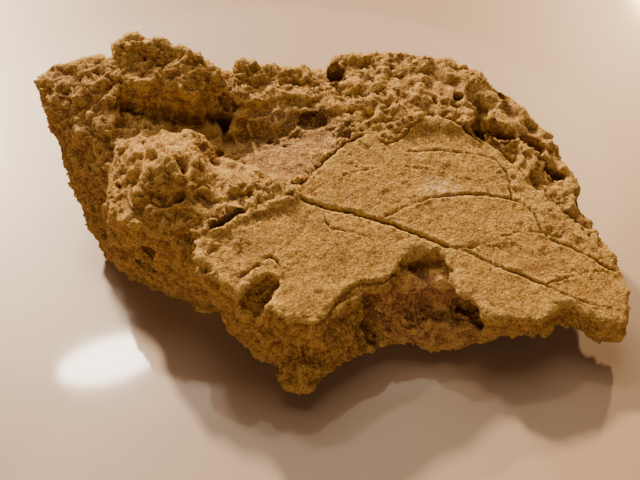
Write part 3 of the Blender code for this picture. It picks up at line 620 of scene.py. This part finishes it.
# The lamps: azimuth and elevation in degrees, distance and size in metres, power, colour.
LAMPS = {
    "key": (-28.5, 31, 2.0, (0.13, 0.13), 98, (1.0, 0.80, 0.57)),
    "glare": (-21.5, 48.3, 2.0, (0.24, 0.1), 9, (1.0, 0.88, 0.72)),
    "warm": (23.5, 22, 2.0, (0.07, 0.07), 34, (1.0, 0.66, 0.34)),
    "ceiling": (-5, 66, 2.0, (1.4, 1.4), 13, (1.0, 0.78, 0.56)),
    "back": (-5, 40, 2.0, (1.8, 1.0), 11, (1.0, 0.78, 0.56)),
    "front": (188, 16, 1.5, (1.2, 0.6), 7.5, (1.0, 0.72, 0.48)),
}
WORLD_COLOUR = (1.0, 0.80, 0.62)
WORLD_STRENGTH = 0.06

# The photograph's view: place in metres, degrees up from straight down, and the lens.
CAMERA_PLACE = (0.008, -0.150, 0.13745)
CAMERA_TILT = 48
CAMERA_LENS = 50.6
SENSOR_WIDTH = 36
NEAREST_VIEW = 0.001


def leaf_level(x, y):
    """The height of the leaf's plane over the origin."""
    return LEAF_HEIGHT - LEAF_FALL_X * x + LEAF_RISE_Y * y


def add_hull(bm, corners):
    """Adds the closed hull of the corners to the mesh."""
    verts = [bm.verts.new(Vector(corner) * MM) for corner in corners]
    made = bmesh.ops.convex_hull(bm, input=verts)
    spare = {
        item for item in made["geom_interior"] + made["geom_unused"]
        if isinstance(item, bmesh.types.BMVert)
    }
    bmesh.ops.delete(bm, geom=list(spare), context="VERTS")


def add_slab(bm, outline, thickness):
    """Adds the leaf slab: its outline on the leaf's plane, drawn down by its thickness."""
    top = [bm.verts.new(Vector((x, y, leaf_level(x, y))) * MM) for x, y in outline]
    face = bm.faces.new(top)
    made = bmesh.ops.extrude_face_region(bm, geom=[face])
    lower = [v for v in made["geom"] if isinstance(v, bmesh.types.BMVert)]
    bmesh.ops.translate(bm, verts=lower, vec=Vector((0, 0, -thickness * MM)))


def add_ball(bm, centre, radii, turn=0, tilt=0):
    """Adds a ball drawn out to its radii, turned about Z and tilted about X."""
    place = Matrix.Translation(Vector(centre) * MM)
    turned = Matrix.Rotation(math.radians(turn), 4, "Z")
    tilted = Matrix.Rotation(math.radians(tilt), 4, "X")
    size = Matrix.Diagonal((*(radius * MM for radius in radii), 1))
    matrix = place @ (turned @ tilted) @ size
    bmesh.ops.create_icosphere(bm, subdivisions=3, radius=1, matrix=matrix)


def named_mesh(name, bm):
    mesh = bpy.data.meshes.new(name)
    bm.to_mesh(mesh)
    bm.free()
    return mesh


def massed_blocks():
    """One mesh of the overlapping blocks, before they are fused."""
    bm = bmesh.new()
    for corners in BLOCKS.values():
        add_hull(bm, corners)
    for centre, radii in LUMPS.values():
        add_ball(bm, centre, radii)
    add_slab(bm, SLAB_OUTLINE, SLAB_THICKNESS)
    bmesh.ops.recalc_face_normals(bm, faces=bm.faces)
    return named_mesh("blocks", bm)


def hollow_cutter():
    """One mesh of all hollows, each a ball drawn out to its radii."""
    bm = bmesh.new()
    for centre, radii, turn, tilt in HOLLOWS.values():
        add_ball(bm, centre, radii, turn, tilt)
    return named_mesh("hollows", bm)


def helper(name, mesh):
    """An object that only lends its modifiers, and is removed before the render."""
    obj = bpy.data.objects.new(name, mesh)
    bpy.context.scene.collection.objects.link(obj)
    obj.hide_render = True
    return obj


def inside(outline, x, y):
    """Whether a point in plan lies inside the outline, by the crossings to its left."""
    crossings = 0
    for (x1, y1), (x2, y2) in zip(outline, outline[1:] + outline[:1]):
        if (y1 > y) != (y2 > y) and x1 + (y - y1) / (y2 - y1) * (x2 - x1) < x:
            crossings += 1
    return crossings % 2 == 1


def keep_largest(mesh):
    """Removes every loose crumb or sealed bubble, and leaves the one body of the stone."""
    bm = bmesh.new()
    bm.from_mesh(mesh)
    unseen = set(bm.verts)
    islands = []
    while unseen:
        island = [unseen.pop()]
        for vert in island:
            for edge in vert.link_edges:
                other = edge.other_vert(vert)
                if other in unseen:
                    unseen.remove(other)
                    island.append(other)
        islands.append(island)
    islands.sort(key=len)
    for island in islands[:-1]:
        bmesh.ops.delete(bm, geom=island, context="VERTS")
    bm.to_mesh(mesh)
    bm.free()


def calmness(point, normal):
    """The share of the roughness that is left at a point of the skin."""
    if normal.z < 0:
        return 1.0
    off = point.z - leaf_level(point.x, point.y)
    if inside(VALLEY_OUTLINE, point.x, point.y) and off < -VALLEY_DROP:
        return VALLEY_CALM
    if abs(off) > CALM_REACH:
        return 1.0
    if inside(PRINT_OUTLINE, point.x, point.y):
        share = PRINT_CALM
    elif inside(SLAB_OUTLINE, point.x, point.y):
        share = SLAB_CALM
    else:
        return 1.0
    return 1 + (share - 1) * normal.z * min(1.0, CALM_REACH - abs(off))


def step_profile(level, thickness):
    """The outline of one bed or ring of the stone: it swells, then breaks back sharply."""
    share = level / thickness % 1.0
    return share * share * (1.0 - share) * 6.0 - 0.5


def ring_profile(point):
    """The rings around the top of the boss, which fade out at their reach."""
    away = (point - Vector(RING_CENTRE)).length
    away += noise.noise(point / RING_WAVER_SIZE) * RING_WAVER
    if away > RING_REACH:
        return 0.0
    return step_profile(away, RING_SPACING) * min(1.0, (RING_REACH - away) / RING_FADE)


def back_lumps(point, normal):
    """The broad lumps of the far side, which fade out below its upper edge."""
    share = min(1.0, max(0.0, (BACK_TOP - point.z) / BACK_FADE)) * max(0.0, normal.y)
    return noise.noise(point / BACK_SIZE + BACK_SEED) * BACK_HEIGHT * share


def pit_profile(point):
    """0 to 1, deepest in the middle of ragged pits, which are deepest near the far shoulder."""
    ragged = point + noise.noise_vector(point / PIT_RAG_SIZE) * PIT_RAG
    near = noise.voronoi(ragged / PIT_SPACING)[0][0] / PIT_SHARE
    away = (point - Vector(PIT_CENTRE)).length / PIT_REACH
    return max(0.0, 1.0 - near * near) * max(PIT_LEAST, min(1.0, 2 - 2 * away))


def evaluated(obj):
    """The mesh of the object with its modifiers applied."""
    graph = bpy.context.evaluated_depsgraph_get()
    return bpy.data.meshes.new_from_object(obj.evaluated_get(graph))


def remesh(obj, voxel):
    """Makes one skin of the object's overlapping parts, at the grain of the voxel."""
    modifier = obj.modifiers.new("remesh", "REMESH")
    modifier.mode = "VOXEL"
    modifier.voxel_size = voxel * MM


def fine_mesh(blocks, hollows):
    """The blocks as one skin, with the hollows cut in it, at the fine grain."""
    remesh(blocks, VOXEL)
    cut = blocks.modifiers.new("hollows", "BOOLEAN")
    cut.operation = "DIFFERENCE"
    cut.object = hollows
    cut.use_self = True
    remesh(blocks, FINE_VOXEL)
    soften = blocks.modifiers.new("soften", "SMOOTH")
    soften.iterations = SMOOTHING_STEPS
    return evaluated(blocks)


def arrays(mesh):
    """The points of the mesh in millimetres and its normals."""
    count = len(mesh.vertices)
    points = np.empty(count * 3)
    normals = np.empty(count * 3)
    mesh.vertices.foreach_get("co", points)
    mesh.vertices.foreach_get("normal", normals)
    return points.reshape(-1, 3) / MM, normals.reshape(-1, 3)


def plane_offset(points):
    """How far each point lies over the leaf's plane."""
    return points[:, 2] - (LEAF_HEIGHT - LEAF_FALL_X * points[:, 0] + LEAF_RISE_Y * points[:, 1])


def stray_points(points):
    """The points moved a little by the noise, so that a line measured with them wavers."""
    return np.array([
        Vector(point) + noise.noise_vector(Vector(point) / LINE_STRAY_SIZE) * LINE_STRAY
        for point in points
    ])


def line_profile(points, half_width, line):
    """1 along the line, 0 at its half width and at its ends, and less than 0 on its lips."""
    line = np.array(line, dtype=float)
    size = line.shape[1]
    steps = np.diff(line, axis=0)
    lengths = np.linalg.norm(steps, axis=1)
    starts = np.concatenate([[0], np.cumsum(lengths)])
    nearest = np.full(len(points), 1e9)
    along = np.zeros(len(points))
    for start, step, length, before in zip(line, steps, lengths, starts):
        away = points[:, :size] - start
        share = np.clip(away @ step / length ** 2, 0, 1)
        distance = np.linalg.norm(away - share[:, None] * step, axis=1)
        closer = distance < nearest
        nearest = np.where(closer, distance, nearest)
        along = np.where(closer, before + share * length, along)
    taper = np.clip(np.minimum(along, starts[-1] - along) / LINE_TAPER + LINE_END, 0, 1)
    profile = np.clip(1 - (nearest / half_width) ** 2, 0, 1)
    lip = np.clip(1 - ((nearest / half_width - LIP_MIDDLE) / LIP_WIDTH) ** 2, 0, 1)
    return profile * taper, lip * taper


def furrows(points):
    """The depth of all fine lines at each point near the leaf's plane, less their lips."""
    near = np.abs(plane_offset(points)) < LINE_REACH
    strayed = stray_points(points[near])
    wear = np.array([
        noise.noise(Vector(point) / WEAR_SIZE + WEAR_SEED) for point in points[near]
    ])
    worn_share = np.clip(1 + wear * WEAR_SHARE, WEAR_LEAST, WEAR_MOST)
    total = np.zeros(len(strayed))
    lips = np.zeros(len(strayed))
    for half_width, depth, line in FINE_LINES.values():
        worn = worn_share if depth < UNWORN_DEPTH else 1.0
        profile, lip = line_profile(strayed, half_width, line)
        total = np.maximum(total, profile * depth * worn)
        lips = np.maximum(lips, lip * LINE_LIP * worn)
    depths = np.zeros(len(points))
    depths[near] = np.where(total > 0, total, -lips)
    return depths


def skin_marks(points):
    """The depth of the grooves and pits on the rough skin, less than 0 on its ridges."""
    depths = np.zeros(len(points))
    for half_width, depth, line in SKIN_LINES.values():
        low = np.array(line).min(axis=0) - MARK_MARGIN
        high = np.array(line).max(axis=0) + MARK_MARGIN
        near = ((points > low) & (points < high)).all(axis=1)
        profile, _ = line_profile(stray_points(points[near]), half_width, line)
        depths[near] += profile * depth
    for centre, radius, depth in SKIN_PITS:
        near = np.linalg.norm(points - np.array(centre), axis=1) < radius + MARK_MARGIN
        away = np.linalg.norm(stray_points(points[near]) - np.array(centre), axis=1) / radius
        depths[near] += depth * np.clip(1 - away ** 2, 0, 1)
    return depths


def refine_lines(mesh):
    """Splits the faces beside the fine lines, so that a narrow furrow keeps its shape."""
    points, normals = arrays(mesh)
    wide = np.zeros(len(points), dtype=bool)
    near = (np.abs(plane_offset(points)) < SPLIT_REACH) & (normals[:, 2] > SPLIT_FACING)
    for half_width, _, line in FINE_LINES.values():
        profile, _ = line_profile(points[near], half_width + SPLIT_MARGIN, line)
        wide[near] |= profile > 0
    bm = bmesh.new()
    bm.from_mesh(mesh)
    bm.verts.ensure_lookup_table()
    edges = [edge for edge in bm.edges if all(wide[vert.index] for vert in edge.verts)]
    bmesh.ops.subdivide_edges(bm, edges=edges, cuts=1, use_grid_fill=True)
    bmesh.ops.triangulate(bm, faces=bm.faces)
    bm.to_mesh(mesh)
    bm.free()


def stalk_rings(point):
    """The rings of the broken stalk end, around its axis."""
    away = point - Vector(STALK_POINT)
    axis = Vector(STALK_AXIS).normalized()
    along = away.dot(axis)
    across = (away - axis * along).length
    if across > STALK_REACH or along < 0:
        return 0.0
    return step_profile(across, STALK_SPACING) * STALK_HEIGHT


def bed_level(point, size, waver):
    """How far a point lies over the leaf's plane, as the wavering beds count it."""
    return point.z - leaf_level(point.x, point.y) + noise.noise(point / size) * waver


def coarse_height(point, normal):
    """The lumps, knobs, beds, rings and pits that the solid has too."""
    lump = noise.fractal(point / LUMP_SIZE, *LUMP_FRACTAL) * LUMP_HEIGHT
    knob = noise.noise(point / KNOB_SIZE + KNOB_SEED) * KNOB_HEIGHT
    level = bed_level(point, BED_WAVER_SIZE, BED_WAVER)
    bed = step_profile(level, BED_THICKNESS) * BED_HEIGHT * (1 - abs(normal.z))
    ring = ring_profile(point) * RING_HEIGHT
    return lump + knob + bed + ring - pit_profile(point) * PIT_DEPTH + back_lumps(point, normal)


def crumb_profile(point, size):
    """Crumbs of the size stuck side by side: high in their middles, with creases between."""
    return CRUMB_MIDDLE - noise.voronoi(point / size)[0][0]


def fine_height(point, normal):
    """The grit, crumbs, thin beds and pores that only the fine skin has."""
    vary = max(VARY_LEAST, VARY_MEAN + noise.noise(point / VARY_SIZE + VARY_SEED) * VARY_REACH)
    torn = point + noise.noise_vector(point / TEAR_SIZE) * TEAR_REACH
    grit = noise.fractal(torn / GRIT_SIZE, *GRIT_FRACTAL) * GRIT_HEIGHT
    crumb = crumb_profile(torn, CRUMB_SIZE) * CRUMB_HEIGHT
    small = crumb_profile(torn + SMALL_CRUMB_SEED, SMALL_CRUMB_SIZE) * SMALL_CRUMB_HEIGHT
    level = bed_level(point, THIN_BED_WAVER_SIZE, THIN_BED_WAVER)
    steep = min(1.0, THIN_BED_STEEPNESS * (1 - abs(normal.z)))
    bed = step_profile(level, THIN_BED_THICKNESS) * THIN_BED_HEIGHT * steep
    crossing = abs(noise.noise(torn / CREASE_SIZE + CREASE_SEED))
    crease = max(0.0, 1 - crossing / CREASE_SHARE) * CREASE_DEPTH
    open_share = noise.noise(torn / PORE_SIZE + PORE_SEED) - PORE_START
    pore = min(1.0, max(0.0, open_share / PORE_SLOPE)) * PORE_DEPTH
    return (grit + crumb + small - pore - crease) * vary + bed + stalk_rings(point)


def print_height(point):
    """The faint grit and the flaked patches of the print."""
    grit = noise.fractal(point / PRINT_GRIT_SIZE, *PRINT_GRIT_FRACTAL) * PRINT_GRIT
    swell = noise.noise(point / PRINT_SWELL_SIZE + SWELL_SEED) * PRINT_SWELL
    patch = noise.noise(point / FLAKE_SIZE) + FLAKE_RAG * noise.noise(point / FLAKE_RAG_SIZE)
    flake = min(1.0, max(0.0, (patch - FLAKE_START) / FLAKE_SLOPE)) * FLAKE_DEPTH
    return grit + swell - flake + crumb_profile(point, SMALL_CRUMB_SIZE) * PRINT_CRUMB


def skin_height(point, normal, calm):
    """How far a point of the skin moves out along its normal, lines and marks apart."""
    height = coarse_height(point, normal) * calm
    fine = fine_height(point, normal)
    if calm < FULLY_ROUGH:
        height += print_height(point)
    height += fine * max(0.0, (calm - FINE_CALM) / (1 - FINE_CALM))
    off = point.z - leaf_level(point.x, point.y)
    if abs(off) < CALM_REACH and normal.z > UP_FACING:
        if inside(SCAR_OUTLINE, point.x, point.y):
            height += fine * SCAR_ROUGHNESS - SCAR_DEPTH
        elif inside(FAN_OUTLINE, point.x, point.y):
            height += fine * FAN_ROUGHNESS + FAN_RISE
    return height


def warp(point, normal, calm):
    """How far a point of the rough skin is pushed out of its smooth outline."""
    flat = WALL_WARP + (1 - WALL_WARP) * max(0.0, normal.z)
    return noise.noise_vector(point / WARP_SIZE) * WARP_REACH * flat * calm ** 3


def sculpt(mesh):
    """Moves the fine skin along its normals, cuts the fine lines into it, and flattens its base."""
    points, normals = arrays(mesh)
    cut = furrows(points) * (normals[:, 2] > UP_FACING)
    heights = -skin_marks(points)
    shifts = np.zeros((len(points), 3))
    for index, (place, facing) in enumerate(zip(points, normals)):
        point, normal = Vector(place), Vector(facing)
        calm = calmness(point, normal)
        heights[index] += skin_height(point, normal, calm)
        shifts[index] = warp(point, normal, calm)
    points += normals * heights[:, None] + shifts
    points[:, 2] -= cut
    points[:, 2] = np.maximum(points[:, 2], 0)
    mesh.vertices.foreach_set("co", (points * MM).ravel())
    mesh.update()


def thinned(rough):
    """The sculpted skin with no more triangles than are kept."""
    faces = sum(len(face.vertices) - 2 for face in rough.data.polygons)
    thin = rough.modifiers.new("thin", "DECIMATE")
    thin.ratio = min(1.0, VISUAL_TRIANGLES / faces)
    thin.use_collapse_triangulate = True
    return evaluated(rough)


def neighbour_mean(values, edges, counts):
    """The mean of each point's neighbours."""
    total = np.zeros_like(values)
    np.add.at(total, edges[:, 0], values[edges[:, 1]])
    np.add.at(total, edges[:, 1], values[edges[:, 0]])
    return total / counts[:, None]


def hollowness(mesh, steps):
    """How deep each point lies under the smoothed skin around it, in millimetres."""
    points, normals = arrays(mesh)
    edges = np.empty(len(mesh.edges) * 2, dtype=np.int64)
    mesh.edges.foreach_get("vertices", edges)
    edges = edges.reshape(-1, 2)
    counts = np.bincount(edges.ravel(), minlength=len(points)).astype(float)
    smooth = points.copy()
    for _ in range(steps):
        smooth = neighbour_mean(smooth, edges, counts)
    return ((smooth - points) * normals).sum(axis=1)


def ball_mask(points, centre, radii):
    """1 at the centre of a zone, 0 at its rim."""
    away = (points - np.array(centre)) / np.array(radii)
    return np.clip(1 - (away ** 2).sum(axis=1), 0, 1)


def hollow_mask(mesh, steps, gain):
    """0.5 where the skin is even, up to 1 in its hollows and down to 0 on its crests."""
    return np.clip(0.5 + hollowness(mesh, steps) * gain, 0, 1)


def paint_masks(mesh):
    """Stores what the material needs to know of each point of the stone."""
    points, normals = arrays(mesh)
    up = normals[:, 2]
    calm = np.array([calmness(Vector(p), Vector(n)) for p, n in zip(points, normals)])
    masks = {
        name: np.clip(ball_mask(points, centre, radii) * gain, 0, 1)
        for name, (centre, radii, gain) in ZONES.items()
    }
    # The valley's darker colour, partly painted shade, is kept to upward faces below the leaf's
    # plane.
    masks["valley"] *= (plane_offset(points) < -VALLEY_SHADE_DROP) * (up > 0)
    masks["print"] = np.clip((1 - calm) / (1 - PRINT_CALM), 0, 1)
    # Painted shade in the fine lines: the deeper the cut, the darker, unless the face turns far
    # down.
    masks["line"] = np.clip(furrows(points) / SHADED_LINE_DEPTH, 0, 1) * (up > SHADED_LINE_FACING)
    # Painted shade: faces that turn from up get a darker, redder colour, more the further they
    # turn.
    masks["wall_shade"] = np.clip((WALL_SHADE_START - up) / WALL_SHADE_RANGE, 0, 1)
    # Partly painted shade and light: how deep each point lies in a hollow, or how high on a crest.
    masks["fine_hollow"] = hollow_mask(mesh, *FINE_HOLLOW)
    masks["wide_hollow"] = hollow_mask(mesh, *WIDE_HOLLOW)
    for name, values in masks.items():
        layer = mesh.attributes.new(name, "FLOAT", "POINT")
        layer.data.foreach_set("value", values.astype(np.float32))


class Nodes:
    """A short hand for building a material's nodes."""

    def __init__(self, material):
        self.tree = material.node_tree
        self.coordinates = self.tree.nodes.new("ShaderNodeTexCoord").outputs["Object"]
        self.sources = {name: self.noise(*values) for name, values in NOISES.items()}

    def fill(self, socket, value):
        """Gives a socket its value: another socket, a colour or a number."""
        if isinstance(value, bpy.types.NodeSocket):
            self.tree.links.new(value, socket)
        else:
            socket.default_value = (*value, 1) if isinstance(value, tuple) else value

    def node(self, kind, inputs):
        """A node of the kind, with its inputs linked or set."""
        node = self.tree.nodes.new(kind)
        for name, value in inputs.items():
            self.fill(node.inputs[name], value)
        return node

    def texture(self, kind, size, inputs):
        """A texture on the stone's own coordinates, with grains or cells of the size."""
        place = {"Vector": self.coordinates, "Scale": 1 / (size * MM)}
        return self.node(kind, place | inputs)

    def noise(self, size, detail, roughness, seed):
        inputs = {"Detail": detail, "Roughness": roughness}
        node = self.texture("ShaderNodeTexNoise", size, inputs)
        node.noise_dimensions = "4D"
        node.inputs["W"].default_value = seed
        return node.outputs["Fac"]

    def source(self, name):
        """The noise of that name, or else the mask of that name on the mesh."""
        if name not in self.sources:
            node = self.tree.nodes.new("ShaderNodeAttribute")
            node.attribute_name = name
            self.sources[name] = node.outputs["Fac"]
        return self.sources[name]

    def span(self, name, low, high, out_low=0.0, out_high=1.0):
        """The named source drawn from one range to another, and held inside it."""
        node = self.node("ShaderNodeMapRange", {
            "Value": self.source(name), "From Min": low, "From Max": high,
            "To Min": out_low, "To Max": out_high,
        })
        return node.outputs["Result"]

    def math(self, operation, first, second):
        node = self.tree.nodes.new("ShaderNodeMath")
        node.operation = operation
        self.fill(node.inputs[0], first)
        self.fill(node.inputs[1], second)
        return node.outputs["Value"]

    def mix(self, share, first, second):
        node = self.tree.nodes.new("ShaderNodeMix")
        node.data_type = "RGBA"
        factor = next(s for s in node.inputs if s.name == "Factor" and s.type == "VALUE")
        colours = [s for s in node.inputs if s.type == "RGBA"]
        self.fill(factor, share)
        self.fill(colours[0], first)
        self.fill(colours[1], second)
        return next(s for s in node.outputs if s.type == "RGBA")

    def wavering(self, name, low, high, first, second):
        """The first colour where the named source is low, the second where it is high."""
        return self.mix(self.span(name, low, high), first, second)

    def tinted(self, colour, tints):
        """The colour with the tints laid over it, one after the other."""
        for name, low, high, share, tint in tints:
            mask = self.math("MULTIPLY", self.span(name, low, high), share)
            colour = self.mix(mask, colour, tint)
        return colour


def travertine():
    """Ochre travertine, paler on the print's grains and red-brown in its hollows; painted shade
    darkens its steep faces and fine lines, and in part its hollows, its valley and its sand's low
    spots.
    """
    material = bpy.data.materials.new("travertine")
    material.use_nodes = True
    shader = material.node_tree.nodes["Principled BSDF"]
    nodes = Nodes(material)

    rough = nodes.tinted(nodes.wavering(*ROUGH_TONES), ROUGH_TINTS)
    printed = nodes.tinted(nodes.wavering(*PRINT_TONES), PRINT_TINTS)
    colour = nodes.mix(nodes.source("print"), rough, printed)
    recess = nodes.wavering(*RECESS_TONES)
    flecks = nodes.span("fleck", *FLECK_RANGE)
    nodes.sources["pale_flecks"] = nodes.math("MULTIPLY", nodes.source("pale"), flecks)
    colour = nodes.tinted(colour, ZONE_TINTS)
    colour = nodes.tinted(colour, [("recess", 0, 1, RECESS_SHARE, recess)])
    colour = nodes.tinted(colour, STONE_TINTS)
    nodes.fill(shader.inputs["Base Color"], colour)
    nodes.fill(shader.inputs["Roughness"], nodes.span(*ROUGHNESS))
    nodes.fill(shader.inputs["Specular IOR Level"], SPECULAR)

    cells = nodes.texture("ShaderNodeTexVoronoi", BUMP_CELLS, {}).outputs["Distance"]
    dents = nodes.math("MULTIPLY", cells, BUMP_CELL_SHARE)
    height = nodes.math("ADD", nodes.source("sand"), dents)
    share = nodes.span("print", 0, 1, 1, PRINT_BUMP)
    bump = nodes.node("ShaderNodeBump", {
        "Strength": BUMP_STRENGTH, "Distance": BUMP_HEIGHT * MM,
        "Height": nodes.math("MULTIPLY", height, share),
    })
    nodes.fill(shader.inputs["Normal"], bump.outputs["Normal"])
    return material


def pale_surface():
    """The smooth pale surface below the stone, with a thin gloss."""
    material = bpy.data.materials.new("pale_floor")
    material.use_nodes = True
    shader = material.node_tree.nodes["Principled BSDF"]
    for name, value in FLOOR_LOOK.items():
        shader.inputs[name].default_value = value
    return material


def make_stone():
    """The stone: massed, fused, cut, sculpted, thinned to what is kept, and painted."""
    blocks = helper("blocks", massed_blocks())
    hollows = helper("hollows", hollow_cutter())
    skin = fine_mesh(blocks, hollows)
    keep_largest(skin)
    refine_lines(skin)
    sculpt(skin)
    rough = helper("rough", skin)
    mesh = thinned(rough)
    for obj in (blocks, hollows, rough):
        bpy.data.objects.remove(obj)
    keep_largest(mesh)
    mesh.name = "stone"
    for face in mesh.polygons:
        face.use_smooth = True
    paint_masks(mesh)
    mesh.materials.clear()
    mesh.materials.append(travertine())
    stone = bpy.data.objects.new("stone", mesh)
    bpy.context.scene.collection.objects.link(stone)
    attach(stone, "root")
    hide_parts("fossil_leaf_stone")


def make_floor():
    bpy.ops.mesh.primitive_plane_add(size=FLOOR_WIDTH)
    floor = bpy.context.object
    floor.name = "floor"
    floor.data.materials.append(pale_surface())


def make_lamp(name, azimuth, elevation, distance, size, power, colour):
    """A soft lamp that faces the stone. Azimuth 0 is behind the stone, +90 to its right."""
    light = bpy.data.lights.new(name, "AREA")
    light.shape = "ELLIPSE"
    light.size, light.size_y = size
    light.energy = power
    light.color = colour
    lamp = bpy.data.objects.new(name, light)
    bpy.context.scene.collection.objects.link(lamp)
    turn, lift = math.radians(azimuth), math.radians(elevation)
    level = math.cos(lift)
    towards = Vector((math.sin(turn) * level, math.cos(turn) * level, math.sin(lift)))
    lamp.location = towards * distance
    lamp.rotation_euler = towards.to_track_quat("Z", "Y").to_euler()


def make_world():
    world = bpy.data.worlds.new("studio")
    world.use_nodes = True
    background = world.node_tree.nodes["Background"]
    background.inputs["Color"].default_value = (*WORLD_COLOUR, 1)
    background.inputs["Strength"].default_value = WORLD_STRENGTH
    bpy.context.scene.world = world


def make_camera():
    data = bpy.data.cameras.new("camera")
    data.sensor_width = SENSOR_WIDTH
    data.lens = CAMERA_LENS
    data.clip_start = NEAREST_VIEW
    camera = bpy.data.objects.new("camera", data)
    bpy.context.scene.collection.objects.link(camera)
    camera.location = CAMERA_PLACE
    camera.rotation_euler = (math.radians(CAMERA_TILT), 0, 0)
    bpy.context.scene.camera = camera


make_camera()
make_world()
for name, values in LAMPS.items():
    make_lamp(name, *values)
make_floor()
make_stone()
